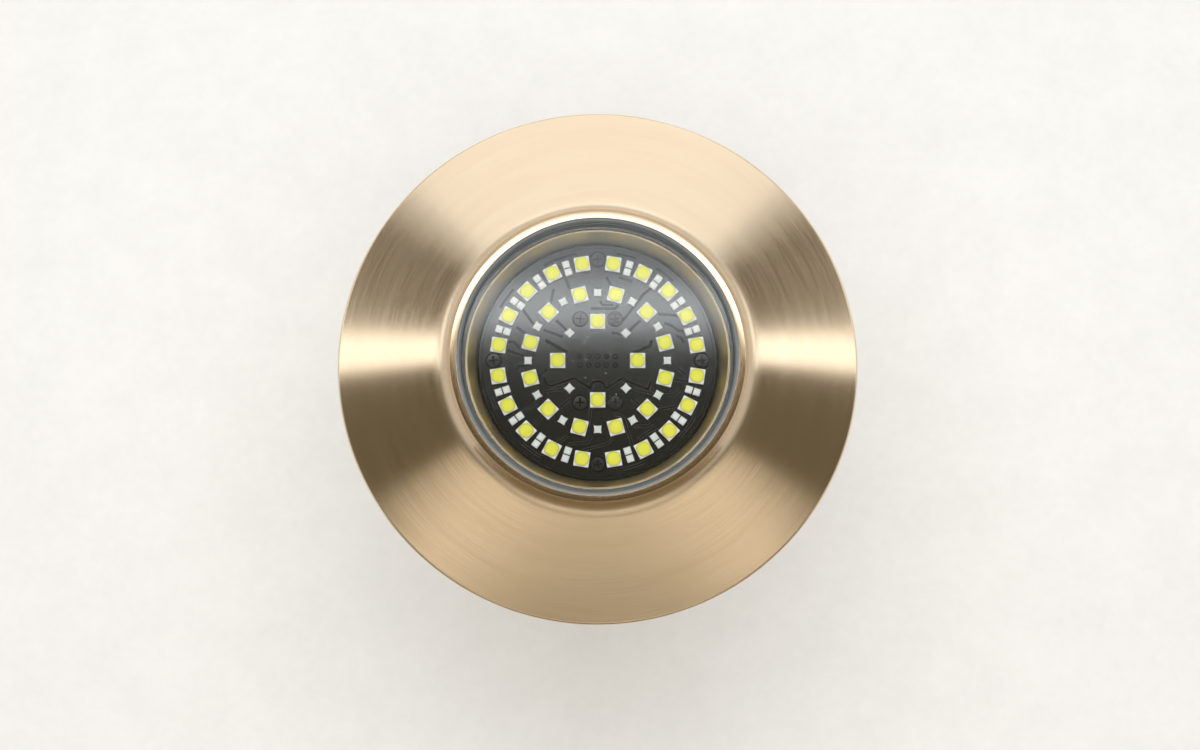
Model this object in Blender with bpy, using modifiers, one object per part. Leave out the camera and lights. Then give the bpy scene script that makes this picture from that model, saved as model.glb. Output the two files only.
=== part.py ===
"""Underwater through-wall light.

A bronze bezel and its stem are one casting. The glass is sealed into the bezel's lip. A light module with
the emitter board, its heat-sink cup and the driver slides into the stem from behind and is held by a lock
ring. A washer and a hexagonal nut clamp the wall against the bezel. The light shines along +Z, and the back
of the bezel, which seats on the wall, is the plane z = 0.
"""
import math

import bmesh
import bpy
from mathutils import Matrix, Vector

MM = 0.001

# Clearances
FIT = 0.3 * MM  # between pieces that rest on each other or sit in each other
SLIDE = 0.4 * MM  # radial, between the light module and the stem's bore
THREAD = 0.5 * MM  # radial, between a thread and its nut, both left plain

# Turned faces around the axis
FINE_STEPS = 64
STEPS = 28
COARSE_STEPS = 20
ARC_STEP = math.radians(36)
RING_SECTION_SIDES = 6

# Bezel
BEZEL_RADIUS = 59.5 * MM
RIM_HEIGHT = 2.8 * MM
RIM_ROUND = 0.8 * MM
BACK_CHAMFER = 0.4 * MM
CONE_SLOPE = math.radians(14.5)
FLANK_SLOPE = math.radians(60)
FLANK_REACH = 3.0 * MM  # from the glass pocket's wall out to the flank's foot
FLANK_FOOT_ROUND = 4.5 * MM
LIP_ABOVE_GLASS = 0.5 * MM
LIP_ROUND = 1.5 * MM
LIP_INNER_ROUND = 0.35 * MM
SEAL_GROOVE_FROM_STEM = 7.0 * MM
SEAL_GROOVE_WIDTH = 3.0 * MM
SEAL_GROOVE_DEPTH = 1.6 * MM

# Glass and its seal
GLASS_RADIUS = 30.7 * MM
GLASS_THICKNESS = 2.3 * MM
GLASS_BEVEL = 0.35 * MM
LENS_SEAL_SHELF = 0.45 * MM
LENS_SEAL_WALL = 0.5 * MM
LENS_SEAL_LAP = 0.8 * MM  # how far the seal reaches under the glass
LEDGE_HEIGHT = 8.0 * MM
LEDGE_STAND_IN = 0.5 * MM  # how far the ledge shows inside the seal

# Stem
STEM_RADIUS = 31.5 * MM
STEM_LENGTH = 58.0 * MM
STEM_WALL = 3.5 * MM
BORE_SHOULDER_HEIGHT = 4.0 * MM
CONE_THROAT_STEP = 0.35 * MM  # from the bore in to the throat
CONE_THROAT_HEIGHT = 4.6 * MM
STEM_CHAMFER = 0.8 * MM

# Emitter board
BOARD_TOP = 4.45 * MM
BOARD_THICKNESS = 1.6 * MM
BOARD_EDGE_BEVEL = 0.25 * MM
LARGE_EMITTER = 3.45 * MM
LARGE_EMITTER_HEIGHT = 0.55 * MM
DOME_SHARE = 0.82  # the dome's top as a share of the package's width
DOME_HEIGHT = 0.4 * MM
SMALL_EMITTER = 1.6 * MM
SMALL_EMITTER_HEIGHT = 0.5 * MM
SMALL_PAIR_PITCH = 1.87 * MM
EMITTER_SINK = 0.3 * MM  # depth of the emitters' feet in the board
OUTER_RING_FROM_EDGE = 4.5 * MM
MIDDLE_RING_FROM_OUTER = 6.98 * MM
INNER_RING_FROM_MIDDLE = 6.77 * MM
INNER_COUNT = 4
MIDDLE_COUNT = 12
OUTER_COUNT = 20

# Light module
PAD_THICKNESS = 0.6 * MM
PAD_FROM_BOARD_EDGE = 2.35 * MM
CUP_WALL = 4.0 * MM
CUP_FLOOR = 3.0 * MM
CUP_RING_GROOVE_WIDTH = 2.4 * MM
CUP_RING_GROOVE_DEPTH = 1.7 * MM
UPPER_RING_FROM_STEM_END = 14.0 * MM
LOWER_RING_FROM_STEM_END = 8.0 * MM
HEADER_LENGTH = 10.4 * MM
HEADER_WIDTH = 4.4 * MM
HEADER_SLOT_MARGIN = 0.8 * MM
DRIVER_BOARD_FROM_CUP = 1.1 * MM
DRIVER_BOARD_THICKNESS = 1.6 * MM
STANDOFF_LENGTH = 11.0 * MM
STANDOFF_RADIUS = 2.3 * MM
STANDOFF_FROM_BOARD_EDGE = 4.0 * MM
STANDOFF_COUNT = 3
INDUCTOR_SIZE = (12.0 * MM, 12.0 * MM, 6.5 * MM)
INDUCTOR_EDGE = 1.0 * MM
INDUCTOR_FROM_BOARD_EDGE = 12.2 * MM
INDUCTOR_TURN = math.radians(157)
CAPACITOR_RADIUS = 4.0 * MM
CAPACITOR_LENGTH = 11.0 * MM
CAPACITOR_FROM_BOARD_EDGE = 6.6 * MM
CAPACITOR_TURNS = (math.radians(68), math.radians(30))
TERMINAL_SIZE = (15.2 * MM, 8.0 * MM, 9.5 * MM)
TERMINAL_SIDEWAYS = 4.0 * MM
TERMINAL_FROM_BOARD_EDGE = 11.0 * MM
TERMINAL_WAYS = 3
TERMINAL_PITCH = 5.0 * MM
TERMINAL_HOLE_RADIUS = 1.3 * MM
TERMINAL_HOLE_DEPTH = 6.0 * MM
CHIP_SIZE = (3.9 * MM, 4.9 * MM, 1.5 * MM)
CHIPS_FROM_BOARD_EDGE = (7.2 * MM, 11.9 * MM, 9.0 * MM)
CHIP_TURNS = (math.radians(212), math.radians(229), math.radians(-4))

# Rear cap and lock ring
CAP_FLANGE_IN_FROM_STEM = 0.5 * MM
CAP_FLANGE_THICKNESS = 5.0 * MM
CAP_SPIGOT_LENGTH = 8.3 * MM
CAP_SPIGOT_WALL = 3.0 * MM
CAP_SHOULDER = 4.0 * MM
CAP_END_THICKNESS = 2.5 * MM
CAP_RING_GROOVE_DEPTH = 1.4 * MM
CAP_RING_GROOVE_WIDTH = 2.4 * MM
CAP_RING_GROOVE_FROM_TOP = 2.5 * MM
SNAP_THICKNESS = 1.1 * MM
SNAP_GROOVE_DEPTH = 1.2 * MM
SNAP_STAND_OUT = 2.2 * MM
SNAP_GAP = 7.0 * MM
LOCK_WALL = 5.5 * MM
LOCK_LIP_THICKNESS = 4.0 * MM
LOCK_OVERLAP = 12.0 * MM
LOCK_NOTCHES = 12
LOCK_NOTCH_RADIUS = 2.6 * MM
LOCK_NOTCH_STAND_OFF = 1.0 * MM

# Wall clamp: sizes at rest, on a wall of 13 mm
WALL_THICKNESS = 13.0 * MM
GASKET_THICKNESS = 1.7 * MM
GASKET_WIDTH = 12.0 * MM
WASHER_THICKNESS = 4.0 * MM
WASHER_WIDTH = 14.0 * MM
NUT_WALL = 6.0 * MM
NUT_HEIGHT = 16.0 * MM
NUT_FLANGE_HEIGHT = 3.0 * MM
NUT_FLANGE_WIDTH = 13.5 * MM
NUT_CHAMFER = 2.2 * MM

# Cable gland
CABLE_BORE_RADIUS = 4.5 * MM
GLAND_SPIGOT_RADIUS = 8.0 * MM
GLAND_SPIGOT_LENGTH = 11.0 * MM
GLAND_HEX_ACROSS_FLATS = 22.0 * MM
GLAND_HEX_HEIGHT = 6.5 * MM
GLAND_RING_POCKET_RADIUS = 10.2 * MM
GLAND_RING_POCKET_DEPTH = 1.6 * MM
GLAND_BARREL_RADIUS = 9.0 * MM
GLAND_BARREL_LENGTH = 9.0 * MM
GROMMET_POCKET_RADIUS = 7.3 * MM
GROMMET_POCKET_DEPTH = 8.0 * MM
GROMMET_STAND_OUT = 2.5 * MM
SLIP_RING_THICKNESS = 1.5 * MM
GLAND_NUT_HEX_HEIGHT = 9.5 * MM
GLAND_NUT_FROM_HEX = 1.5 * MM
GLAND_NUT_DOME_HEIGHT = 7.0 * MM
GLAND_NUT_DOME_ROUND = 4.5 * MM
GLAND_NUT_MOUTH_RADIUS = 5.0 * MM

# Radii, worked out from the sizes above
POCKET_RADIUS = GLASS_RADIUS + FIT + LENS_SEAL_WALL + FIT / 3
FLANK_FOOT_RADIUS = POCKET_RADIUS + FLANK_REACH
LENS_SEAL_OPENING = GLASS_RADIUS - LENS_SEAL_LAP
LEDGE_OPENING = LENS_SEAL_OPENING - LEDGE_STAND_IN
SEAL_GROOVE_RADIUS = STEM_RADIUS + SEAL_GROOVE_FROM_STEM
BORE_RADIUS = STEM_RADIUS - STEM_WALL
CONE_THROAT_RADIUS = BORE_RADIUS - CONE_THROAT_STEP
BOARD_RADIUS = CONE_THROAT_RADIUS - FIT
OUTER_RING = BOARD_RADIUS - OUTER_RING_FROM_EDGE
MIDDLE_RING = OUTER_RING - MIDDLE_RING_FROM_OUTER
INNER_RING = MIDDLE_RING - INNER_RING_FROM_MIDDLE
PAD_RADIUS = BOARD_RADIUS - PAD_FROM_BOARD_EDGE
CUP_RADIUS = BORE_RADIUS - SLIDE
CUP_BORE = CUP_RADIUS - CUP_WALL
DRIVER_BOARD_RADIUS = CUP_BORE - DRIVER_BOARD_FROM_CUP
STANDOFF_RING = DRIVER_BOARD_RADIUS - STANDOFF_FROM_BOARD_EDGE
CAP_FLANGE_RADIUS = STEM_RADIUS - CAP_FLANGE_IN_FROM_STEM
CAP_NECK_RADIUS = CAP_FLANGE_RADIUS - CAP_SHOULDER
THREADED_BORE = STEM_RADIUS + THREAD
LOCK_RADIUS = THREADED_BORE + LOCK_WALL
GASKET_RADIUS = THREADED_BORE + GASKET_WIDTH
WASHER_RADIUS = THREADED_BORE + WASHER_WIDTH
NUT_ACROSS_FLATS = 2 * (THREADED_BORE + NUT_WALL)
NUT_FLANGE_RADIUS = THREADED_BORE + NUT_FLANGE_WIDTH

# Places along the axis, worked out from the sizes above
SEAL_SHELF_TOP = LEDGE_HEIGHT + FIT + LENS_SEAL_SHELF
GLASS_BOTTOM = SEAL_SHELF_TOP + FIT
GLASS_TOP = GLASS_BOTTOM + GLASS_THICKNESS
LIP_TOP = GLASS_TOP + LIP_ABOVE_GLASS
BOARD_BOTTOM = BOARD_TOP - BOARD_THICKNESS
PAD_TOP = BOARD_BOTTOM - FIT
PAD_BOTTOM = PAD_TOP - PAD_THICKNESS
CUP_TOP = PAD_BOTTOM - FIT
CUP_CEILING = CUP_TOP - CUP_FLOOR
STEM_END = -STEM_LENGTH
DRIVER_TOP = CUP_CEILING - FIT - STANDOFF_LENGTH - FIT
DRIVER_BOTTOM = DRIVER_TOP - DRIVER_BOARD_THICKNESS
CAP_FLANGE_TOP = STEM_END - FIT
CAP_FLANGE_BOTTOM = CAP_FLANGE_TOP - CAP_FLANGE_THICKNESS
LOCK_LIP_TOP = CAP_FLANGE_BOTTOM - FIT
LOCK_BOTTOM = LOCK_LIP_TOP - LOCK_LIP_THICKNESS
LOCK_TOP = STEM_END + LOCK_OVERLAP
SNAP_TOP = LOCK_BOTTOM - FIT
SNAP_BOTTOM = SNAP_TOP - SNAP_THICKNESS
CAP_END = SNAP_BOTTOM - FIT - CAP_END_THICKNESS
GASKET_TOP = -WALL_THICKNESS
GASKET_BOTTOM = GASKET_TOP - GASKET_THICKNESS
WASHER_TOP = GASKET_BOTTOM - FIT
WASHER_BOTTOM = WASHER_TOP - WASHER_THICKNESS
NUT_TOP = WASHER_BOTTOM - FIT
NUT_FLANGE_BOTTOM = NUT_TOP - NUT_FLANGE_HEIGHT
NUT_BOTTOM = NUT_TOP - NUT_HEIGHT
GLAND_HEX_TOP = CAP_END - FIT
GLAND_HEX_BOTTOM = GLAND_HEX_TOP - GLAND_HEX_HEIGHT
GLAND_BARREL_END = GLAND_HEX_BOTTOM - GLAND_BARREL_LENGTH
GROMMET_TOP = GLAND_BARREL_END + GROMMET_POCKET_DEPTH - FIT
GROMMET_BOTTOM = GLAND_BARREL_END - GROMMET_STAND_OUT
SLIP_RING_TOP = GROMMET_BOTTOM - FIT
SLIP_RING_BOTTOM = SLIP_RING_TOP - SLIP_RING_THICKNESS
GLAND_NUT_TOP = GLAND_HEX_BOTTOM - GLAND_NUT_FROM_HEX
GLAND_NUT_HEX_BOTTOM = GLAND_NUT_TOP - GLAND_NUT_HEX_HEIGHT
GLAND_NUT_SHOULDER = SLIP_RING_BOTTOM - FIT
GLAND_NUT_BOTTOM = GLAND_NUT_HEX_BOTTOM - GLAND_NUT_DOME_HEIGHT

# Colours (linear), metallic, roughness
BRONZE = ((0.66, 0.45, 0.25), 1.0, 0.30)
STEEL = ((0.55, 0.55, 0.54), 1.0, 0.30)
ALUMINIUM = ((0.72, 0.73, 0.74), 1.0, 0.38)
RUBBER_BLACK = ((0.02, 0.02, 0.022), 0.0, 0.65)
RUBBER_GREY = ((0.14, 0.16, 0.16), 0.0, 0.50)
GLASS = ((0.80, 0.86, 0.86), 0.0, 0.04)
SOLDER_MASK_BLACK = ((0.022, 0.022, 0.024), 0.0, 0.45)
SOLDER_MASK_GREEN = ((0.02, 0.14, 0.06), 0.0, 0.40)
SILICONE = ((0.45, 0.50, 0.58), 0.0, 0.70)
PLASTIC_BLACK = ((0.03, 0.03, 0.03), 0.0, 0.50)
PLASTIC_GREEN = ((0.05, 0.30, 0.10), 0.0, 0.45)
FERRITE = ((0.10, 0.10, 0.11), 0.0, 0.55)


def clear_scene():
    for old in list(bpy.data.objects):
        bpy.data.objects.remove(old, do_unlink=True)


def new_collection(name):
    collection = bpy.data.collections.new(name)
    bpy.context.scene.collection.children.link(collection)
    return collection


def new_material(name, look):
    colour, metallic, roughness = look
    material = bpy.data.materials.new(name)
    material.use_nodes = True
    shader = material.node_tree.nodes["Principled BSDF"]
    shader.inputs["Base Color"].default_value = (*colour, 1.0)
    shader.inputs["Metallic"].default_value = metallic
    shader.inputs["Roughness"].default_value = roughness
    material.diffuse_color = (*colour, 1.0)
    return material


def add_part(name, mesh, look, parent=None):
    part = bpy.data.objects.new(name, mesh)
    part.data.materials.append(new_material(name, look))
    part.parent = parent
    PARTS.objects.link(part)
    return part


def add_axis(name):
    """Empty on the light's axis that carries the pieces that move together."""
    axis = bpy.data.objects.new(name, None)
    axis.empty_display_type = "SINGLE_ARROW"
    axis.empty_display_size = BEZEL_RADIUS
    PARTS.objects.link(axis)
    return axis


def arc_at_corner(before, corner, after, radius):
    """Points of the arc that rounds a corner, its radius limited by the shorter side."""
    to_before = before - corner
    to_after = after - corner
    half_angle = to_before.angle(to_after) / 2
    longest = 0.48 * min(to_before.length, to_after.length)
    reach = min(radius / math.tan(half_angle), longest)
    radius = reach * math.tan(half_angle)
    middle = (to_before.normalized() + to_after.normalized()).normalized()
    centre = corner + middle * radius / math.sin(half_angle)
    start = corner + to_before.normalized() * reach - centre
    end = corner + to_after.normalized() * reach - centre
    turn = math.copysign(math.pi - 2 * half_angle, start.x * end.y - start.y * end.x)
    pieces = max(1, round(abs(turn) / ARC_STEP))
    return [centre + Matrix.Rotation(turn * k / pieces, 2) @ start for k in range(pieces + 1)]


def outline(corners, closed):
    """Outline through corners (radius, height) or (radius, height, rounding)."""
    places = [Vector(corner[:2]) for corner in corners]
    points = []
    for i, corner in enumerate(corners):
        if len(corner) == 2:
            points.append(places[i])
        else:
            points += arc_at_corner(places[i - 1], places[i], places[(i + 1) % len(places)], corner[2])
    edges = [(i, i + 1) for i in range(len(points) - 1)]
    if closed:
        edges.append((len(points) - 1, 0))
    return points, edges


def turned_mesh(name, corners, closed=True, steps=STEPS):
    """Solid turned about Z from an outline that runs down its outer side, as a mesh."""
    points, edges = outline(corners, closed)
    profile = bpy.data.meshes.new(name)
    profile.from_pydata([(p.x, 0, p.y) for p in points], edges, [])
    blank = bpy.data.objects.new(name, profile)
    CUTTERS.objects.link(blank)
    screw = blank.modifiers.new("Turn", "SCREW")
    screw.axis = "Z"
    screw.steps = steps
    screw.render_steps = steps
    screw.use_merge_vertices = True
    screw.merge_threshold = 0.001 * MM
    mesh = bpy.data.meshes.new_from_object(blank.evaluated_get(bpy.context.evaluated_depsgraph_get()))
    bpy.data.objects.remove(blank, do_unlink=True)
    bpy.data.meshes.remove(profile)
    mesh.name = name
    return mesh


def turned(name, corners, look, parent=None, closed=True, steps=STEPS):
    return add_part(name, turned_mesh(name, corners, closed, steps), look, parent)


def box_mesh(name, size, centre):
    """Box of the given size about its centre."""
    mesh = bpy.data.meshes.new(name)
    bm = bmesh.new()
    placing = Matrix.Translation(centre) @ Matrix.Diagonal((*size, 1))
    bmesh.ops.create_cube(bm, size=1, matrix=placing)
    bm.to_mesh(mesh)
    bm.free()
    return mesh


def prism_mesh(name, sides, corner_radius, top, bottom, place=(0, 0), turn=0.0):
    """Upright prism or cylinder from its top height down to its bottom height."""
    mesh = bpy.data.meshes.new(name)
    bm = bmesh.new()
    placing = Matrix.Translation((*place, (top + bottom) / 2)) @ Matrix.Rotation(turn, 4, "Z")
    bmesh.ops.create_cone(
        bm,
        cap_ends=True,
        segments=sides,
        radius1=corner_radius,
        radius2=corner_radius,
        depth=top - bottom,
        matrix=placing,
    )
    bm.to_mesh(mesh)
    bm.free()
    return mesh


def hexagon_corner_radius(across_flats):
    return across_flats / 2 / math.cos(math.pi / 6)


def combine(part, meshes, operation):
    """Boolean of the part with each mesh in turn. The cutters stay in their own collection."""
    for mesh in meshes:
        cutter = bpy.data.objects.new(f"{part.name}_{operation.lower()}", mesh)
        cutter.hide_render = True
        cutter.display_type = "WIRE"
        CUTTERS.objects.link(cutter)
        boolean = part.modifiers.new(operation.title(), "BOOLEAN")
        boolean.operation = operation
        boolean.object = cutter


def bevel_edges(part, width, segments=1):
    bevel = part.modifiers.new("Bevel", "BEVEL")
    bevel.width = width
    bevel.segments = segments
    bevel.limit_method = "ANGLE"
    bevel.angle_limit = math.radians(40)


def on_ring(radius, angle):
    return Vector((radius * math.cos(angle), radius * math.sin(angle), 0))


def ring_places(count, radius, first=0.0):
    """Places and turns of pieces spread evenly round a ring."""
    turns = [first + 2 * math.pi * k / count for k in range(count)]
    return [(on_ring(radius, turn), turn) for turn in turns]


# Housing and glass


def make_housing():
    foot_height = RIM_HEIGHT + (BEZEL_RADIUS - FLANK_FOOT_RADIUS) * math.tan(CONE_SLOPE)
    crest_radius = FLANK_FOOT_RADIUS - (LIP_TOP - foot_height) / math.tan(FLANK_SLOPE)
    groove_inside = SEAL_GROOVE_RADIUS - SEAL_GROOVE_WIDTH / 2
    groove_outside = SEAL_GROOVE_RADIUS + SEAL_GROOVE_WIDTH / 2
    bezel = [
        (POCKET_RADIUS, LIP_TOP, LIP_INNER_ROUND),
        (crest_radius, LIP_TOP, LIP_ROUND),
        (FLANK_FOOT_RADIUS, foot_height, FLANK_FOOT_ROUND),
        (BEZEL_RADIUS, RIM_HEIGHT, RIM_ROUND),
        (BEZEL_RADIUS, BACK_CHAMFER),
        (BEZEL_RADIUS - BACK_CHAMFER, 0),
    ]
    back = [
        (groove_outside, 0),
        (groove_outside, SEAL_GROOVE_DEPTH),
        (groove_inside, SEAL_GROOVE_DEPTH),
        (groove_inside, 0),
        (STEM_RADIUS, 0),
    ]
    stem = [
        (STEM_RADIUS, STEM_END + STEM_CHAMFER),
        (STEM_RADIUS - STEM_CHAMFER, STEM_END),
        (BORE_RADIUS + STEM_CHAMFER, STEM_END),
        (BORE_RADIUS, STEM_END + 2 * STEM_CHAMFER),
    ]
    bore = [
        (BORE_RADIUS, BORE_SHOULDER_HEIGHT),
        (CONE_THROAT_RADIUS, BORE_SHOULDER_HEIGHT),
        (CONE_THROAT_RADIUS, CONE_THROAT_HEIGHT),
        (LEDGE_OPENING, LEDGE_HEIGHT),
        (POCKET_RADIUS, LEDGE_HEIGHT),
    ]
    turned("housing", bezel + back + stem + bore, BRONZE, steps=FINE_STEPS)


def o_ring(name, inside, outside, height, middle, parent=None, look=RUBBER_BLACK):
    """Squeezed O-ring: an oval section between two radii."""
    across = (outside - inside) / 2
    angles = [math.pi / 2 - 2 * math.pi * k / RING_SECTION_SIDES for k in range(RING_SECTION_SIDES)]
    reach = across / math.cos(math.pi / RING_SECTION_SIDES)
    corners = [
        ((inside + outside) / 2 + reach * math.cos(angle), middle + height / 2 * math.sin(angle))
        for angle in angles
    ]
    return turned(name, corners, look, parent)


def make_flange_seal():
    half = SEAL_GROOVE_WIDTH / 2 - FIT
    height = SEAL_GROOVE_DEPTH - FIT
    middle = (FIT + height) / 2
    o_ring("flange_seal", SEAL_GROOVE_RADIUS - half, SEAL_GROOVE_RADIUS + half, height - FIT / 2, middle)


def make_lens_seal():
    wall_outside = GLASS_RADIUS + FIT + LENS_SEAL_WALL
    wall_inside = GLASS_RADIUS + FIT
    corners = [
        (wall_inside, GLASS_TOP),
        (wall_outside, GLASS_TOP),
        (wall_outside, LEDGE_HEIGHT + FIT),
        (LENS_SEAL_OPENING, LEDGE_HEIGHT + FIT),
        (LENS_SEAL_OPENING, SEAL_SHELF_TOP),
        (wall_inside, SEAL_SHELF_TOP),
    ]
    turned("lens_seal", corners, RUBBER_GREY, steps=FINE_STEPS)


def make_lens_glass():
    corners = [
        (0, GLASS_TOP),
        (GLASS_RADIUS - GLASS_BEVEL, GLASS_TOP),
        (GLASS_RADIUS, GLASS_TOP - GLASS_BEVEL),
        (GLASS_RADIUS, GLASS_BOTTOM),
        (0, GLASS_BOTTOM),
    ]
    glass = turned("lens_glass", corners, GLASS, closed=False, steps=FINE_STEPS)
    glass.data.materials[0].node_tree.nodes["Principled BSDF"].inputs["Alpha"].default_value = 0.35


# Emitter board


def add_emitter(bm, place, turn, width, height, domed=False):
    """Square emitter package whose foot is sunk in the board, with a tapered dome on a large one."""
    depth = height + EMITTER_SINK
    centre = place + Vector((0, 0, BOARD_TOP + height - depth / 2))
    placing = Matrix.Translation(centre) @ Matrix.Rotation(turn, 4, "Z")
    made = bmesh.ops.create_cube(bm, size=1, matrix=placing @ Matrix.Diagonal((width, width, depth, 1)))
    if domed:
        faces = {face for vert in made["verts"] for face in vert.link_faces}
        top = max(faces, key=lambda face: face.calc_center_median().z)
        dome = bmesh.ops.extrude_discrete_faces(bm, faces=[top])["faces"][0]
        middle = Matrix.Translation(dome.calc_center_median())
        shrink = Matrix.Diagonal((DOME_SHARE, DOME_SHARE, 1, 1))
        rise = Matrix.Translation((0, 0, DOME_HEIGHT))
        bmesh.ops.transform(bm, matrix=rise @ middle @ shrink @ middle.inverted(), verts=dome.verts)


def large_emitter_places():
    places = ring_places(INNER_COUNT, INNER_RING)
    places += ring_places(MIDDLE_COUNT, MIDDLE_RING, math.pi / MIDDLE_COUNT)
    places += ring_places(OUTER_COUNT, OUTER_RING, math.pi / OUTER_COUNT)
    return places


def small_emitter_places():
    """Single squares inside, and pairs in the outer ring, which leaves out the four screws' places."""
    places = ring_places(INNER_COUNT, INNER_RING, math.pi / INNER_COUNT)
    places += ring_places(MIDDLE_COUNT, MIDDLE_RING)
    screw_every = OUTER_COUNT // INNER_COUNT
    for k in range(OUTER_COUNT):
        if k % screw_every:
            turn = 2 * math.pi * k / OUTER_COUNT
            for side in (-0.5, 0.5):
                places.append((on_ring(OUTER_RING + side * SMALL_PAIR_PITCH, turn), turn))
    return places


def make_led_board(parent):
    corners = [
        (0, BOARD_TOP),
        (BOARD_RADIUS - BOARD_EDGE_BEVEL, BOARD_TOP),
        (BOARD_RADIUS, BOARD_TOP - BOARD_EDGE_BEVEL),
        (BOARD_RADIUS, BOARD_BOTTOM),
        (0, BOARD_BOTTOM),
    ]
    board = turned("led_board", corners, SOLDER_MASK_BLACK, parent, closed=False)
    emitters = bpy.data.meshes.new("emitters")
    bm = bmesh.new()
    for place, turn in large_emitter_places():
        add_emitter(bm, place, turn, LARGE_EMITTER, LARGE_EMITTER_HEIGHT, domed=True)
    for place, turn in small_emitter_places():
        add_emitter(bm, place, turn, SMALL_EMITTER, SMALL_EMITTER_HEIGHT)
    bm.to_mesh(emitters)
    bm.free()
    combine(board, [emitters], "UNION")


# Light module


def make_heat_sink_cup(parent):
    groove = CUP_RADIUS - CUP_RING_GROOVE_DEPTH
    corners = [(0, CUP_TOP), (CUP_RADIUS, CUP_TOP, STEM_CHAMFER)]
    for from_end in (UPPER_RING_FROM_STEM_END, LOWER_RING_FROM_STEM_END):
        top = STEM_END + from_end + CUP_RING_GROOVE_WIDTH / 2
        bottom = top - CUP_RING_GROOVE_WIDTH
        corners += [(CUP_RADIUS, top), (groove, top), (groove, bottom), (CUP_RADIUS, bottom)]
    corners += [
        (CUP_RADIUS, STEM_END),
        (CUP_BORE, STEM_END),
        (CUP_BORE, CUP_CEILING, STEM_CHAMFER),
        (0, CUP_CEILING),
    ]
    cup = turned("heat_sink_cup", corners, ALUMINIUM, parent, closed=False)
    slot_size = (HEADER_LENGTH + HEADER_SLOT_MARGIN, HEADER_WIDTH + HEADER_SLOT_MARGIN, 2 * CUP_FLOOR)
    slot = box_mesh("header_slot", slot_size, (0, 0, CUP_TOP - CUP_FLOOR / 2))
    combine(cup, [slot], "DIFFERENCE")


def make_thermal_pad(parent):
    corners = [(0, PAD_TOP), (PAD_RADIUS, PAD_TOP), (PAD_RADIUS, PAD_BOTTOM), (0, PAD_BOTTOM)]
    pad = turned("thermal_pad", corners, SILICONE, parent, closed=False)
    slot_size = (HEADER_LENGTH + HEADER_SLOT_MARGIN, HEADER_WIDTH + HEADER_SLOT_MARGIN, 4 * PAD_THICKNESS)
    slot = box_mesh("pad_slot", slot_size, (0, 0, (PAD_TOP + PAD_BOTTOM) / 2))
    combine(pad, [slot], "DIFFERENCE")


def make_module_o_rings(parent):
    inside = CUP_RADIUS - CUP_RING_GROOVE_DEPTH + FIT / 2
    outside = BORE_RADIUS - FIT / 2
    height = CUP_RING_GROOVE_WIDTH - 2 * FIT
    o_ring("module_o_ring_upper", inside, outside, height, STEM_END + UPPER_RING_FROM_STEM_END, parent)
    o_ring("module_o_ring_lower", inside, outside, height, STEM_END + LOWER_RING_FROM_STEM_END, parent)


def make_board_header(parent):
    """Pin header that joins the emitter board to the driver board through the cup's floor."""
    top = BOARD_BOTTOM - FIT
    bottom = DRIVER_TOP + FIT
    mesh = box_mesh("board_header", (HEADER_LENGTH, HEADER_WIDTH, top - bottom), (0, 0, (top + bottom) / 2))
    header = add_part("board_header", mesh, PLASTIC_BLACK, parent)
    bevel_edges(header, FIT)


def make_standoffs(parent):
    top = CUP_CEILING - FIT
    for k, (place, turn) in enumerate(ring_places(STANDOFF_COUNT, STANDOFF_RING, math.pi / 2)):
        mesh = prism_mesh(f"standoff_{k + 1}", 6, STANDOFF_RADIUS, top, top - STANDOFF_LENGTH, place.xy, turn)
        add_part(f"standoff_{k + 1}", mesh, STEEL, parent)


def make_driver_board(parent):
    corners = [
        (0, DRIVER_TOP),
        (DRIVER_BOARD_RADIUS, DRIVER_TOP),
        (DRIVER_BOARD_RADIUS, DRIVER_BOTTOM),
        (0, DRIVER_BOTTOM),
    ]
    board = turned("driver_board", corners, SOLDER_MASK_GREEN, parent, closed=False)
    length, width, height = CHIP_SIZE
    chips = []
    for from_edge, turn in zip(CHIPS_FROM_BOARD_EDGE, CHIP_TURNS):
        x, y, _ = on_ring(DRIVER_BOARD_RADIUS - from_edge, turn)
        centre = (x, y, DRIVER_BOTTOM + DRIVER_BOARD_THICKNESS / 4 - height / 2)
        chips.append(box_mesh("chip", (length, width, height + DRIVER_BOARD_THICKNESS / 2), centre))
    combine(board, chips, "UNION")


def make_driver_parts(parent):
    top = DRIVER_BOTTOM - FIT
    x, y, _ = on_ring(DRIVER_BOARD_RADIUS - INDUCTOR_FROM_BOARD_EDGE, INDUCTOR_TURN)
    block = box_mesh("driver_inductor", INDUCTOR_SIZE, (x, y, top - INDUCTOR_SIZE[2] / 2))
    inductor = add_part("driver_inductor", block, FERRITE, parent)
    bevel_edges(inductor, INDUCTOR_EDGE, 2)
    for k, turn in enumerate(CAPACITOR_TURNS):
        corners = [
            (0, top),
            (CAPACITOR_RADIUS, top, FIT),
            (CAPACITOR_RADIUS, top - CAPACITOR_LENGTH, 2 * FIT),
            (0, top - CAPACITOR_LENGTH),
        ]
        name = f"driver_capacitor_{k + 1}"
        can = turned(name, corners, ALUMINIUM, parent, closed=False, steps=COARSE_STEPS)
        can.location = on_ring(DRIVER_BOARD_RADIUS - CAPACITOR_FROM_BOARD_EDGE, turn)
    make_terminal_block(parent, top)


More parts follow.
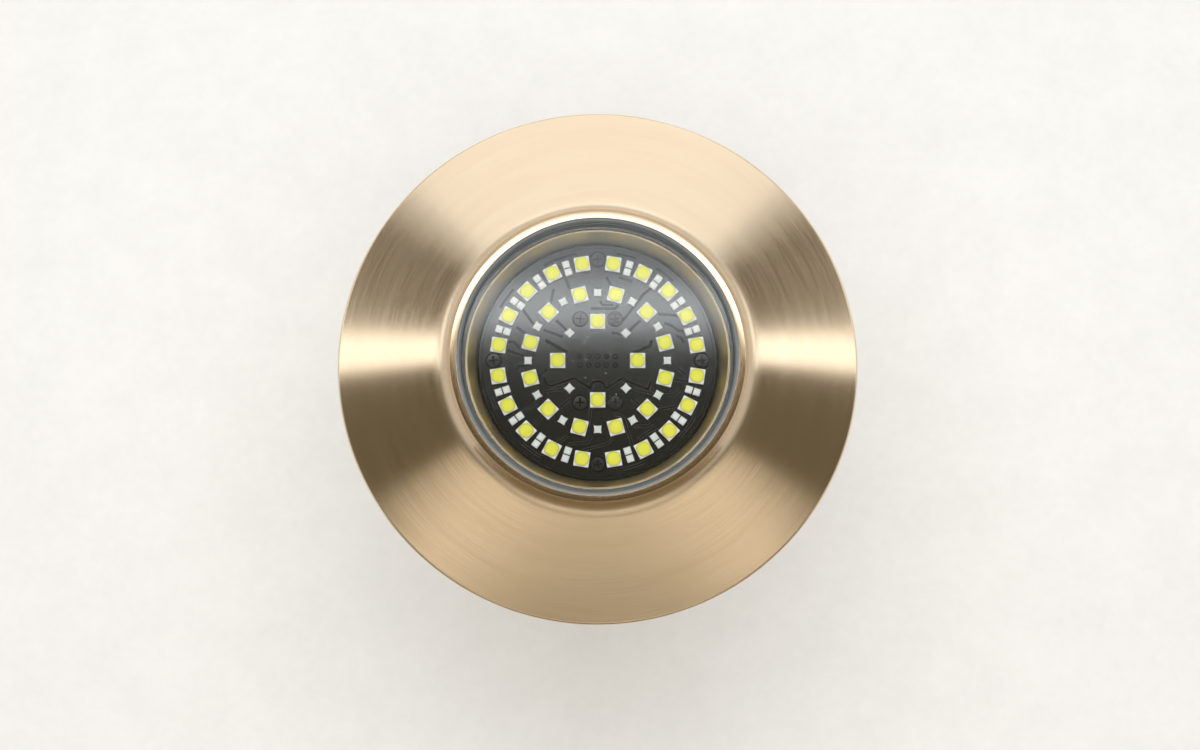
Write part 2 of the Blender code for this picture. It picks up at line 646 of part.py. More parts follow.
def make_terminal_block(parent, top):
    x, y = TERMINAL_SIDEWAYS, TERMINAL_FROM_BOARD_EDGE - DRIVER_BOARD_RADIUS
    mouth = top - TERMINAL_SIZE[2]
    mesh = box_mesh("terminal_block", TERMINAL_SIZE, (x, y, (top + mouth) / 2))
    block = add_part("terminal_block", mesh, PLASTIC_GREEN, parent)
    bevel_edges(block, FIT)
    holes = []
    for way in range(TERMINAL_WAYS):
        place = (x + (way - (TERMINAL_WAYS - 1) / 2) * TERMINAL_PITCH, y)
        end = mouth + TERMINAL_HOLE_DEPTH
        holes.append(prism_mesh("wire_hole", 12, TERMINAL_HOLE_RADIUS, end, mouth - FIT, place))
    combine(block, holes, "DIFFERENCE")


def make_rear_cap(parent):
    spigot = CUP_BORE - FIT
    spigot_top = STEM_END + CAP_SPIGOT_LENGTH
    ring_top = spigot_top - CAP_RING_GROOVE_FROM_TOP
    ring_bottom = ring_top - CAP_RING_GROOVE_WIDTH
    ring_floor = spigot - CAP_RING_GROOVE_DEPTH
    snap_floor = CAP_NECK_RADIUS - SNAP_GROOVE_DEPTH
    hollow = spigot - CAP_SPIGOT_WALL
    gland_hole = GLAND_SPIGOT_RADIUS + FIT
    corners = [
        (hollow, spigot_top),
        (spigot, spigot_top),
        (spigot, ring_top),
        (ring_floor, ring_top),
        (ring_floor, ring_bottom),
        (spigot, ring_bottom),
        (spigot, CAP_FLANGE_TOP),
        (CAP_FLANGE_RADIUS, CAP_FLANGE_TOP),
        (CAP_FLANGE_RADIUS, CAP_FLANGE_BOTTOM),
        (CAP_NECK_RADIUS, CAP_FLANGE_BOTTOM),
        (CAP_NECK_RADIUS, SNAP_TOP + FIT / 2),
        (snap_floor, SNAP_TOP + FIT / 2),
        (snap_floor, SNAP_BOTTOM - FIT / 2),
        (CAP_NECK_RADIUS, SNAP_BOTTOM - FIT / 2),
        (CAP_NECK_RADIUS, CAP_END, STEM_CHAMFER),
        (gland_hole, CAP_END),
        (gland_hole, CAP_FLANGE_TOP),
        (hollow, CAP_FLANGE_TOP),
    ]
    turned("rear_cap", corners, BRONZE, parent)
    middle = (ring_top + ring_bottom) / 2
    height = CAP_RING_GROOVE_WIDTH - 2 * FIT
    o_ring("cap_o_ring", ring_floor + FIT / 2, CUP_BORE - FIT / 2, height, middle, parent)


def make_snap_ring(parent):
    inside = CAP_NECK_RADIUS - SNAP_GROOVE_DEPTH + FIT
    outside = CAP_NECK_RADIUS + SNAP_STAND_OUT
    corners = [(inside, SNAP_TOP), (outside, SNAP_TOP), (outside, SNAP_BOTTOM), (inside, SNAP_BOTTOM)]
    ring = turned("snap_ring", corners, STEEL, parent)
    middle = (SNAP_TOP + SNAP_BOTTOM) / 2
    gap = box_mesh("snap_gap", (2 * SNAP_GAP, SNAP_GAP, 4 * SNAP_THICKNESS), (outside, 0, middle))
    combine(ring, [gap], "DIFFERENCE")


def make_lock_ring(parent):
    corners = [
        (THREADED_BORE, LOCK_TOP),
        (LOCK_RADIUS, LOCK_TOP, STEM_CHAMFER),
        (LOCK_RADIUS, LOCK_BOTTOM, 2 * STEM_CHAMFER),
        (CAP_NECK_RADIUS + THREAD, LOCK_BOTTOM),
        (CAP_NECK_RADIUS + THREAD, LOCK_LIP_TOP),
        (THREADED_BORE, LOCK_LIP_TOP),
    ]
    ring = turned("lock_ring", corners, BRONZE, parent)
    notches = bpy.data.meshes.new("lock_notches")
    bm = bmesh.new()
    middle = (LOCK_TOP + LOCK_BOTTOM) / 2
    for place, turn in ring_places(LOCK_NOTCHES, LOCK_RADIUS + LOCK_NOTCH_STAND_OFF, math.pi / LOCK_NOTCHES):
        placing = Matrix.Translation((place.x, place.y, middle)) @ Matrix.Rotation(turn, 4, "Z")
        bmesh.ops.create_cone(
            bm,
            cap_ends=True,
            segments=10,
            radius1=LOCK_NOTCH_RADIUS,
            radius2=LOCK_NOTCH_RADIUS,
            depth=2 * (LOCK_TOP - LOCK_BOTTOM),
            matrix=placing,
        )
    bm.to_mesh(notches)
    bm.free()
    combine(ring, [notches], "DIFFERENCE")


# Wall clamp


def make_wall_clamp(washer_axis, nut_axis):
    gasket = [
        (THREADED_BORE, GASKET_TOP),
        (GASKET_RADIUS, GASKET_TOP),
        (GASKET_RADIUS, GASKET_BOTTOM),
        (THREADED_BORE, GASKET_BOTTOM),
    ]
    turned("inner_gasket", gasket, RUBBER_BLACK, washer_axis)
    washer = [
        (THREADED_BORE, WASHER_TOP),
        (WASHER_RADIUS, WASHER_TOP, STEM_CHAMFER),
        (WASHER_RADIUS, WASHER_BOTTOM, STEM_CHAMFER),
        (THREADED_BORE, WASHER_BOTTOM),
    ]
    turned("backing_washer", washer, BRONZE, washer_axis)
    make_wall_nut(nut_axis)


def make_wall_nut(nut_axis):
    """Hexagonal nut with a round flange, its corners chamfered by the turned blank."""
    corner = hexagon_corner_radius(NUT_ACROSS_FLATS)
    blank = [
        (THREADED_BORE, NUT_TOP),
        (NUT_FLANGE_RADIUS, NUT_TOP, STEM_CHAMFER),
        (NUT_FLANGE_RADIUS, NUT_FLANGE_BOTTOM, STEM_CHAMFER),
        (corner, NUT_FLANGE_BOTTOM - FIT),
        (corner, NUT_BOTTOM + NUT_CHAMFER),
        (corner - 2 * NUT_CHAMFER, NUT_BOTTOM),
        (THREADED_BORE, NUT_BOTTOM),
    ]
    nut = turned("wall_nut", blank, BRONZE, nut_axis)
    hexagon = prism_mesh("nut_hexagon", 6, corner, NUT_TOP, NUT_BOTTOM - NUT_HEIGHT)
    wider = NUT_FLANGE_RADIUS + NUT_CHAMFER
    flange = prism_mesh("nut_flange", STEPS, wider, NUT_TOP + NUT_HEIGHT, NUT_FLANGE_BOTTOM)
    keep_hexagon(nut, hexagon, flange)


def keep_hexagon(part, hexagon, round_part):
    """Keeps of a turned blank what lies in a hexagon or in a round piece above it."""
    keep = bpy.data.objects.new(f"{part.name}_keep", hexagon)
    keep.hide_render = True
    keep.display_type = "WIRE"
    CUTTERS.objects.link(keep)
    combine(keep, [round_part], "UNION")
    boolean = part.modifiers.new("Keep", "BOOLEAN")
    boolean.operation = "INTERSECT"
    boolean.object = keep


# Cable gland


def make_gland_body(parent):
    corner = hexagon_corner_radius(GLAND_HEX_ACROSS_FLATS)
    spigot_top = GLAND_HEX_TOP + GLAND_SPIGOT_LENGTH
    pocket_floor = GLAND_HEX_TOP - GLAND_RING_POCKET_DEPTH
    grommet_floor = GLAND_BARREL_END + GROMMET_POCKET_DEPTH
    corners = [
        (CABLE_BORE_RADIUS, spigot_top),
        (GLAND_SPIGOT_RADIUS, spigot_top, 2 * FIT),
        (GLAND_SPIGOT_RADIUS, pocket_floor),
        (GLAND_RING_POCKET_RADIUS, pocket_floor),
        (GLAND_RING_POCKET_RADIUS, GLAND_HEX_TOP),
        (corner, GLAND_HEX_TOP),
        (corner, GLAND_HEX_BOTTOM),
        (GLAND_BARREL_RADIUS, GLAND_HEX_BOTTOM),
        (GLAND_BARREL_RADIUS, GLAND_BARREL_END, FIT),
        (GROMMET_POCKET_RADIUS, GLAND_BARREL_END),
        (GROMMET_POCKET_RADIUS, grommet_floor),
        (CABLE_BORE_RADIUS, grommet_floor),
    ]
    body = turned("gland_body", corners, BRONZE, parent, steps=COARSE_STEPS)
    keep = prism_mesh("gland_hexagon", 6, corner, spigot_top + corner, GLAND_BARREL_END - corner)
    combine(body, [keep], "INTERSECT")
    inside = GLAND_SPIGOT_RADIUS + FIT / 2
    outside = GLAND_RING_POCKET_RADIUS - FIT / 2
    bottom = pocket_floor + FIT / 2
    top = CAP_END - FIT / 2
    o_ring("gland_o_ring", inside, outside, top - bottom, (top + bottom) / 2, parent)


def make_gland_seal(parent):
    inside = CABLE_BORE_RADIUS
    outside = GROMMET_POCKET_RADIUS - FIT
    corners = [
        (inside, GROMMET_TOP),
        (outside, GROMMET_TOP),
        (outside, GROMMET_BOTTOM, 4 * FIT),
        (inside, GROMMET_BOTTOM),
    ]
    turned("gland_seal", corners, RUBBER_BLACK, parent, steps=COARSE_STEPS)


def make_gland_nut(slip_axis, nut_axis):
    pocket = GLAND_BARREL_RADIUS + THREAD
    slip = [
        (GLAND_NUT_MOUTH_RADIUS, SLIP_RING_TOP),
        (pocket - FIT, SLIP_RING_TOP),
        (pocket - FIT, SLIP_RING_BOTTOM),
        (GLAND_NUT_MOUTH_RADIUS, SLIP_RING_BOTTOM),
    ]
    turned("gland_slip_ring", slip, STEEL, slip_axis, steps=COARSE_STEPS)
    flat = GLAND_HEX_ACROSS_FLATS / 2
    corner = hexagon_corner_radius(GLAND_HEX_ACROSS_FLATS)
    blank = [
        (pocket, GLAND_NUT_TOP),
        (corner, GLAND_NUT_TOP),
        (corner, GLAND_NUT_HEX_BOTTOM),
        (flat - FIT, GLAND_NUT_HEX_BOTTOM - FIT),
        (flat - FIT, GLAND_NUT_BOTTOM, GLAND_NUT_DOME_ROUND),
        (GLAND_NUT_MOUTH_RADIUS, GLAND_NUT_BOTTOM, FIT),
        (GLAND_NUT_MOUTH_RADIUS, GLAND_NUT_SHOULDER),
        (pocket, GLAND_NUT_SHOULDER),
    ]
    nut = turned("gland_nut", blank, BRONZE, nut_axis, steps=COARSE_STEPS)
    keep = prism_mesh("gland_nut_hexagon", 6, corner, GLAND_NUT_TOP + flat, GLAND_NUT_BOTTOM - flat)
    combine(nut, [keep], "INTERSECT")


def shade_round_faces():
    for part in PARTS.objects:
        if part.type == "MESH":
            part.data.shade_smooth()
            part.data.set_sharp_from_angle(angle=math.radians(30))


clear_scene()
PARTS = new_collection("underwater_light")
CUTTERS = new_collection("cutters")
make_housing()
make_flange_seal()
make_lens_seal()
make_lens_glass()
MODULE_AXIS = add_axis("light_module_axis")
make_led_board(MODULE_AXIS)
make_thermal_pad(MODULE_AXIS)
make_heat_sink_cup(MODULE_AXIS)
make_module_o_rings(MODULE_AXIS)
make_board_header(MODULE_AXIS)
make_standoffs(MODULE_AXIS)
make_driver_board(MODULE_AXIS)
make_driver_parts(MODULE_AXIS)
make_rear_cap(MODULE_AXIS)
make_snap_ring(MODULE_AXIS)
make_gland_body(MODULE_AXIS)
make_gland_seal(MODULE_AXIS)
make_lock_ring(add_axis("lock_ring_axis"))
make_gland_nut(add_axis("gland_slip_axis"), add_axis("gland_nut_axis"))
make_wall_clamp(add_axis("backing_washer_axis"), add_axis("wall_nut_axis"))
shade_round_faces()
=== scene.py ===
import math

import bmesh
import bpy
from mathutils import Matrix, Vector


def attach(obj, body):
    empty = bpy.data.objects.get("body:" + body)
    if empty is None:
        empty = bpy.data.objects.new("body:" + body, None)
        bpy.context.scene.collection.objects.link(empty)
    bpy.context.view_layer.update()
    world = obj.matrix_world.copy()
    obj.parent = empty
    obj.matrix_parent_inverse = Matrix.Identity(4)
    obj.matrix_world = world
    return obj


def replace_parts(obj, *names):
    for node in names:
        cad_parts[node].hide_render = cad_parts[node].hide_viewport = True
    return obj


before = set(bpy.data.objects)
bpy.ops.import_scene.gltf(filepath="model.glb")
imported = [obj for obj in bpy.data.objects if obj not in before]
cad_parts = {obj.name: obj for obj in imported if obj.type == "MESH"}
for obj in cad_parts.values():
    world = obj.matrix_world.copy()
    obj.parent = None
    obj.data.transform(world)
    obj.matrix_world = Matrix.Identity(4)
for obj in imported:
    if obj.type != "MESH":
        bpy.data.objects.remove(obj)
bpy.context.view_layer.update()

MM = 0.001

# Steps round the axis of large and of plainer pieces, steps along each flat of the gland's hexagons, and
# the angle of a step along a rounding
FINE = 360
ROUND = 144
GLAND_STEPS_PER_FLAT = 22
ARC_STEP = math.radians(9)

# Sizes in millimetres, as in the CAD
BEZEL_RADIUS = 59.5
RIM_HEIGHT = 2.8
CONE_RISE = math.tan(math.radians(14.5))
FLANK_RISE = math.tan(math.radians(60))
FLANK_FOOT = 34.6
FLANK_FILLET = 4.5
LIP_TOP = 11.85
POCKET_RADIUS = 31.6
LEDGE = 8.0
THROAT = 27.65
BORE = 28.0
STEM_RADIUS = 31.5
STEM_END = -58.0
GLASS_RADIUS = 30.7
GLASS_TOP, GLASS_BOTTOM = 11.35, 9.05
BOARD_RADIUS = 27.35
BOARD_TOP, BOARD_BOTTOM = 4.45, 2.85
LARGE_EMITTER = 3.45
SMALL_EMITTER = 1.6
THREADED_BORE = 32.0
NUT_TOP, NUT_BOTTOM = -19.3, -35.3
CAP_END = -71.8
GLAND_FLATS = 22.0

# Sizes in millimetres of what the CAD leaves plain or out. The threads' pitches are those of the joints
HEADER_PITCH = 2.0
THREAD_PITCH = 2.0
GLAND_PITCH = 1.5
STEM_THREAD_TOP = -5.0
STEM_THREAD_DEPTH = 1.15
INNER_THREAD_DEPTH = 0.9
GLAND_THREAD_DEPTH = 0.7
GLAND_ROUNDING = 0.4
CHAMFER_RISE = 0.36
FLOOR_HEIGHT = -111.0


# Meshes


def finish_mesh(name, bm, sharp=28):
    """Object from a bmesh in millimetres, with smooth faces and sharp edges above an angle in degrees."""
    bmesh.ops.remove_doubles(bm, verts=bm.verts, dist=1e-5)
    bmesh.ops.recalc_face_normals(bm, faces=bm.faces)
    bmesh.ops.scale(bm, vec=(MM, MM, MM), verts=bm.verts)
    mesh = bpy.data.meshes.new(name)
    bm.to_mesh(mesh)
    bm.free()
    mesh.shade_smooth()
    mesh.set_sharp_from_angle(angle=math.radians(sharp))
    piece = bpy.data.objects.new(name, mesh)
    bpy.context.scene.collection.objects.link(piece)
    return piece


def rounded(corners, closed=True):
    """Outline of (radius, height) or (radius, height, rounding) corners, with roundings drawn as arcs."""
    points = []
    count = len(corners)
    for k, (r, z, *rounding) in enumerate(corners):
        corner = Vector((r, z))
        inner = closed or 0 < k < count - 1
        if not (rounding and inner):
            points.append(corner)
            continue
        before = (Vector(corners[k - 1][:2]) - corner).normalized()
        after = (Vector(corners[(k + 1) % count][:2]) - corner).normalized()
        half = before.angle(after) / 2
        middle = corner + (before + after).normalized() * rounding[0] / math.sin(half)
        start = corner + before * rounding[0] / math.tan(half) - middle
        end = corner + after * rounding[0] / math.tan(half) - middle
        sweep = start.angle_signed(end)
        steps = max(2, math.ceil(abs(sweep) / ARC_STEP))
        for step in range(steps + 1):
            turned = start.copy()
            turned.rotate(Matrix.Rotation(-sweep * step / steps, 2))
            points.append(middle + turned)
    return points


def even_angles(steps):
    return [2 * math.pi * k / steps for k in range(steps)]


def add_turned(bm, corners, angles, closed=True, limit=None):
    """Adds a turned skin to a bmesh.

    Corners may be a function of the angle, and limit may cut a radius back. An open outline starts and
    ends on the axis, or where another skin takes over."""
    columns = []
    for angle in angles:
        column = []
        for point in rounded(corners(angle) if callable(corners) else corners, closed):
            r = limit(angle, point.x) if limit else point.x
            column.append(bm.verts.new((r * math.cos(angle), r * math.sin(angle), point.y)))
        columns.append(column)
    rows = len(columns[0])
    for one, two in zip(columns, columns[1:] + columns[:1]):
        for k in range(rows if closed else rows - 1):
            n = (k + 1) % rows
            bm.faces.new((one[k], two[k], two[n], one[n]))
    bmesh.ops.remove_doubles(bm, verts=bm.verts, dist=1e-5)


def turned(name, corners, steps=ROUND, closed=True):
    bm = bmesh.new()
    add_turned(bm, corners, even_angles(steps), closed)
    return finish_mesh(name, bm)


def add_thread(bm, radius, top, bottom, pitch, depth, angles):
    """Right-handed thread between two heights, cut in by its depth, or outward where the depth is negative.

    It fades in below the top and runs out at the bottom. Places and drops are the thread's section: shares
    of the pitch, and shares of the depth there."""
    places = (0.0, 0.06, 0.44, 0.56, 0.94)
    drops = (0.0, 0.0, 1.0, 1.0, 0.0)
    per_turn = len(places)
    rows = math.ceil((top - bottom) / pitch + 1) * per_turn
    grid = []
    for row in range(rows + 1):
        turn, k = divmod(row, per_turn)
        ring = []
        for angle in angles:
            height = top - pitch * (turn + places[k] - angle / (2 * math.pi))
            height = min(top, max(bottom, height))
            fade = min(1.0, (top - height) / pitch, (height - bottom) / (0.5 * pitch))
            r = radius - depth * (drops[k] * fade + (1 - fade) * (height < (top + bottom) / 2))
            ring.append(bm.verts.new((r * math.cos(angle), r * math.sin(angle), height)))
        grid.append(ring)
    for row in range(rows):
        for step in range(len(angles)):
            if step + 1 < len(angles):
                a, b = grid[row][step + 1], grid[row + 1][step + 1]
            else:
                a, b = grid[max(row - per_turn, 0)][0], grid[max(row + 1 - per_turn, 0)][0]
            face = list(dict.fromkeys((grid[row][step], a, b, grid[row + 1][step])))
            if len(face) > 2:
                bm.faces.new(face)


def hex_radius(across_flats, rounding, angle):
    """Distance from the axis to a hexagon with rounded corners, one of whose flats faces +X."""
    apothem = across_flats / 2
    from_flat = (angle + math.pi / 6) % (math.pi / 3) - math.pi / 6
    to_corner = math.pi / 6 - abs(from_flat)
    if apothem * math.tan(abs(from_flat)) <= (apothem - rounding) * math.tan(math.pi / 6):
        return apothem / math.cos(from_flat)
    centre = (apothem - rounding) / math.cos(math.pi / 6)
    return centre * math.cos(to_corner) + math.sqrt(rounding**2 - (centre * math.sin(to_corner)) ** 2)


def hex_angles(across_flats, rounding, per_flat):
    """Angles round a hexagon: even along the flats, and close together at its rounded corners."""
    apothem = across_flats / 2
    flat_end = math.atan((apothem - rounding) * math.tan(math.pi / 6) / apothem)
    corner = math.pi / 3 - 2 * flat_end
    one_side = [flat_end * (2 * k / per_flat - 1) for k in range(per_flat + 1)]
    one_side += [flat_end + corner * k / 6 for k in range(1, 6)]
    return [side * math.pi / 3 + angle for side in range(6) for angle in one_side]


def cut_out(solid, cutter):
    """What is left of a closed bmesh once another is cut out of it. Both are used up."""
    operands = []
    for bm in (solid, cutter):
        bmesh.ops.recalc_face_normals(bm, faces=bm.faces)
        mesh = bpy.data.meshes.new("operand")
        bm.to_mesh(mesh)
        bm.free()
        operand = bpy.data.objects.new("operand", mesh)
        bpy.context.scene.collection.objects.link(operand)
        operands.append(operand)
    boolean = operands[0].modifiers.new("boolean", "BOOLEAN")
    boolean.operation = "DIFFERENCE"
    boolean.object = operands[1]
    boolean.solver = "EXACT"
    result = bmesh.new()
    result.from_object(operands[0], bpy.context.evaluated_depsgraph_get())
    for operand in operands:
        mesh = operand.data
        bpy.data.objects.remove(operand)
        bpy.data.meshes.remove(mesh)
    return result


# Materials


class Look:
    """A material, and short ways to add nodes to it."""

    def __init__(self, name, **constants):
        self.material = bpy.data.materials.new(name)
        self.material.use_nodes = True
        self.tree = self.material.node_tree
        self.shader = self.tree.nodes["Principled BSDF"]
        for socket, value in constants.items():
            self.shader.inputs[socket.replace("_", " ")].default_value = value
        self.place = self.node("ShaderNodeTexCoord").outputs["Object"]

    def put(self, socket, value):
        if isinstance(value, bpy.types.NodeSocket):
            self.tree.links.new(value, socket)
        else:
            socket.default_value = value

    def node(self, kind, *values, **settings):
        node = self.tree.nodes.new(kind)
        for setting, value in settings.items():
            setattr(node, setting, value)
        for socket, value in zip(node.inputs, values):
            if value is not None:
                self.put(socket, value)
        return node

    def math(self, operation, a, b=0.0):
        return self.node("ShaderNodeMath", a, b, operation=operation).outputs[0]

    def split(self, vector):
        return self.node("ShaderNodeSeparateXYZ", vector).outputs

    def join(self, x, y, z):
        return self.node("ShaderNodeCombineXYZ", x, y, z).outputs[0]

    def noise(self, vector, scale, detail=2.0, roughness=0.5):
        node = self.node("ShaderNodeTexNoise")
        self.put(node.inputs["Vector"], vector)
        node.inputs["Scale"].default_value = scale
        node.inputs["Detail"].default_value = detail
        node.inputs["Roughness"].default_value = roughness
        return node.outputs["Fac"]

    def span(self, value, low, high, to_low=0.0, to_high=1.0):
        node = self.node("ShaderNodeMapRange", value, low, high, to_low, to_high)
        return node.outputs[0]

    def blend(self, share, one, two):
        node = self.node("ShaderNodeMix", data_type="RGBA")
        self.put(node.inputs["Factor"], share)
        for socket, colour in ((node.inputs[6], one), (node.inputs[7], two)):
            self.put(socket, colour if isinstance(colour, bpy.types.NodeSocket) else (*colour, 1.0))
        return node.outputs[2]

    def bump(self, height, depth):
        """Bump of a height from 0 to 1 that stands for a depth in metres."""
        node = self.node("ShaderNodeBump")
        node.inputs["Strength"].default_value = 1.0
        node.inputs["Distance"].default_value = depth
        self.put(node.inputs["Height"], height)
        return node.outputs["Normal"]

    def wire(self, socket, value):
        self.put(self.shader.inputs[socket], value)


def turned_metal(name, dark, light, roughness, flats=False, spread=0.8, dulled_radius=None):
    """Metal turned on a lathe: fine lines round the axis, and slow changes of tone between them.

    With flats, faces that stand upright are milled along their length instead. What lies inside the dulled
    radius, in metres, is less polished."""
    line_depth = 0.0000012
    dulled_by, dulled_fade = 0.06, 0.0015
    look = Look(name, Metallic=1.0, Anisotropic=spread, Anisotropic_Rotation=0.25)
    x, y, z = look.split(look.place)
    radius = look.math("SQRT", look.math("ADD", look.math("MULTIPLY", x, x), look.math("MULTIPLY", y, y)))
    radius = look.math("MAXIMUM", radius, 0.0005)
    across = look.math("ADD", radius, look.math("MULTIPLY", z, 0.9))
    if flats:
        upright = look.split(look.node("ShaderNodeNewGeometry").outputs["True Normal"])[2]
        level = look.math("GREATER_THAN", look.math("ABSOLUTE", upright), 0.3)
        across = look.math("ADD", look.math("MULTIPLY", radius, level), z)
    round_x = look.math("DIVIDE", x, radius)
    round_y = look.math("DIVIDE", y, radius)

    def lines(per_metre, round_share):
        return look.join(
            look.math("MULTIPLY", across, per_metre),
            look.math("MULTIPLY", round_x, round_share),
            look.math("MULTIPLY", round_y, round_share),
        )

    fine = look.noise(lines(6000.0, 3.0), 1.0, 3.0, 0.6)
    wide = look.noise(lines(420.0, 1.2), 1.0, 3.0, 0.55)
    cloud = look.noise(look.place, 38.0, 3.0, 0.5)
    tone = look.math("ADD", look.math("MULTIPLY", wide, 0.6), look.math("MULTIPLY", cloud, 0.4))
    look.wire("Base Color", look.blend(look.span(tone, 0.3, 0.7), dark, light))
    gloss = look.span(fine, 0.25, 0.75, roughness - 0.03, roughness + 0.04)
    if dulled_radius:
        dulled = look.span(radius, dulled_radius, dulled_radius + dulled_fade, dulled_by, 0.0)
        gloss = look.math("ADD", gloss, dulled)
    look.wire("Roughness", gloss)
    look.wire("Normal", look.bump(fine, line_depth))
    tangent = look.node("ShaderNodeTangent", direction_type="RADIAL", axis="Z")
    look.wire("Tangent", tangent.outputs[0])
    return look.material


def plain_soft(name, dark, light, roughness, grain=900.0, depth=0.00001, **constants):
    """Rubber, plastic or solder mask: a fine grain, a slow change of tone and a faint bump."""
    look = Look(name, **constants)
    slow = look.noise(look.place, 70.0, 3.0)
    fine = look.noise(look.place, grain, 4.0, 0.6)
    tone = look.math("ADD", look.math("MULTIPLY", slow, 0.5), look.math("MULTIPLY", fine, 0.5))
    look.wire("Base Color", look.blend(look.span(tone, 0.35, 0.65), dark, light))
    look.wire("Roughness", look.span(fine, 0.3, 0.7, roughness - 0.05, roughness + 0.06))
    look.wire("Normal", look.bump(fine, depth))
    return look.material


def paint(piece, *materials):
    for material in materials:
        piece.data.materials.append(material)
    return piece


def layered(name, dark, light, below, height, roughness):
    """Two colours of plastic or paint in one CAD piece, parted at a height in metres."""
    look = Look(name)
    fine = look.noise(look.place, 1500.0, 3.0, 0.6)
    slow = look.noise(look.place, 90.0, 2.0)
    tone = look.span(slow, 0.35, 0.65)
    upper = look.blend(tone, dark, light)
    part = look.math("GREATER_THAN", look.split(look.place)[2], height)
    look.wire("Base Color", look.blend(part, below, upper))
    look.wire("Roughness", look.span(fine, 0.3, 0.7, roughness - 0.06, roughness + 0.06))
    look.wire("Normal", look.bump(fine, 0.000008))
    return look.material


def grey(value):
    return (value, value, value)


BRONZE_DARK, BRONZE_LIGHT = (0.82, 0.66, 0.47), (0.88, 0.72, 0.53)
BRONZE = turned_metal("turned_bronze", BRONZE_DARK, BRONZE_LIGHT, 0.175)
BRONZE_BEZEL = turned_metal("bezel_bronze", BRONZE_DARK, BRONZE_LIGHT, 0.175, dulled_radius=0.0358)
BRONZE_BORE = turned_metal("bored_bronze", (0.84, 0.66, 0.43), (0.92, 0.74, 0.50), 0.42, spread=0.3)
# Darker copy of the bezel's bronze for the lip and its pocket wall: painted shade that holds down the lip's
# bright reflection. Its lower roughness is a real finer polish.
BRONZE_LIP_PAINTED_SHADE = turned_metal("lip_bronze_painted_shade", (0.66, 0.51, 0.34), (0.71, 0.555, 0.385), 0.12, spread=0.5)
BRONZE_MILLED = turned_metal("milled_bronze", BRONZE_DARK, BRONZE_LIGHT, 0.25, flats=True)
ALUMINIUM = turned_metal("turned_aluminium", (0.66, 0.67, 0.68), (0.78, 0.79, 0.80), 0.30)
STEEL = turned_metal("ground_steel", (0.50, 0.50, 0.49), (0.60, 0.60, 0.59), 0.28, flats=True)
BLACK_RUBBER = plain_soft("black_rubber", (0.012, 0.012, 0.013), (0.022, 0.022, 0.024), 0.6)
SEAL_INNER = plain_soft("seal_inner", (0.105, 0.112, 0.113), (0.125, 0.133, 0.134), 0.5)
SEAL_OUTER = plain_soft("seal_outer", (0.145, 0.163, 0.17), (0.168, 0.186, 0.195), 0.45)
BOARD_BLACK = plain_soft(
    "board_mask",
    (0.007, 0.007, 0.0067),
    (0.011, 0.011, 0.0105),
    0.13,
    grain=1600.0,
    depth=0.0000006,
    Specular_IOR_Level=0.5,
)
# Near-black with little gloss. On the board's traces and dividing lines, and in the screws' cross recesses,
# it is painted shade of their relief. The solder pads and screw washers use it too.
BLACK_AND_PAINTED_SHADE = plain_soft("black_mask_and_painted_shade", grey(0.001), grey(0.003), 0.5, Specular_IOR_Level=0.05)
# Paler strip under the board's dark lines: a painted highlight along their raised edges.
TRACE_PAINTED_HIGHLIGHT = plain_soft("trace_painted_highlight", (0.030, 0.030, 0.029), (0.040, 0.040, 0.039), 0.3)
SCREW_BLACK = plain_soft("screw_black", grey(0.010), grey(0.015), 0.2, depth=0.000001)
SOLDER = plain_soft("solder_dark", grey(0.002), grey(0.006), 0.22)
VIA = plain_soft("via_speck", (0.30, 0.29, 0.26), (0.42, 0.41, 0.37), 0.4)
CERAMIC = plain_soft("emitter_ceramic", (0.82, 0.82, 0.81), (0.90, 0.90, 0.89), 0.45)
PHOSPHOR = plain_soft("emitter_phosphor", (0.81, 0.79, 0.042), (0.89, 0.86, 0.058), 0.35, grain=2600.0)
EMITTER_EDGE = plain_soft("emitter_edge", (0.22, 0.20, 0.17), (0.32, 0.30, 0.26), 0.5)
CHIP = plain_soft("small_emitter", (0.66, 0.66, 0.65), (0.74, 0.74, 0.73), 0.4)
CHIP_MIDDLE = plain_soft("small_emitter_lens", (0.74, 0.74, 0.73), (0.82, 0.82, 0.81), 0.3)
SILICONE = plain_soft("silicone_pad", (0.38, 0.43, 0.52), (0.50, 0.55, 0.62), 0.7)
BLACK_PLASTIC = plain_soft("black_plastic", grey(0.022), grey(0.036), 0.5)
GREEN_PLASTIC = plain_soft("green_plastic", (0.04, 0.26, 0.08), (0.06, 0.33, 0.11), 0.42)
FERRITE = plain_soft("ferrite", (0.07, 0.07, 0.075), (0.13, 0.13, 0.135), 0.6, depth=0.00003)
SOLDER_MASK_BOTTOM, SLEEVE_BOTTOM = -0.01458, -0.02545
MASK_DARK, MASK_LIGHT = (0.015, 0.12, 0.05), (0.025, 0.17, 0.07)
SLEEVE_DARK, SLEEVE_LIGHT = (0.02, 0.025, 0.05), (0.03, 0.035, 0.065)
DRIVER_BOARD = layered("driver_board", MASK_DARK, MASK_LIGHT, grey(0.02), SOLDER_MASK_BOTTOM, 0.38)
CAPACITOR = layered("capacitor", SLEEVE_DARK, SLEEVE_LIGHT, grey(0.62), SLEEVE_BOTTOM, 0.4)

NODE_LOOKS = {
    "thermal_pad": SILICONE,
    "heat_sink_cup": ALUMINIUM,
    "module_o_ring_upper": BLACK_RUBBER,
    "module_o_ring_lower": BLACK_RUBBER,
    "board_header": BLACK_PLASTIC,
    "standoff_1": STEEL,
    "standoff_2": STEEL,
    "standoff_3": STEEL,
    "driver_board": DRIVER_BOARD,
    "driver_inductor": FERRITE,
    "driver_capacitor_1": CAPACITOR,
    "driver_capacitor_2": CAPACITOR,
    "terminal_block": GREEN_PLASTIC,
    "cap_o_ring": BLACK_RUBBER,
    "gland_o_ring": BLACK_RUBBER,
    "gland_seal": BLACK_RUBBER,
    "gland_slip_ring": STEEL,
}


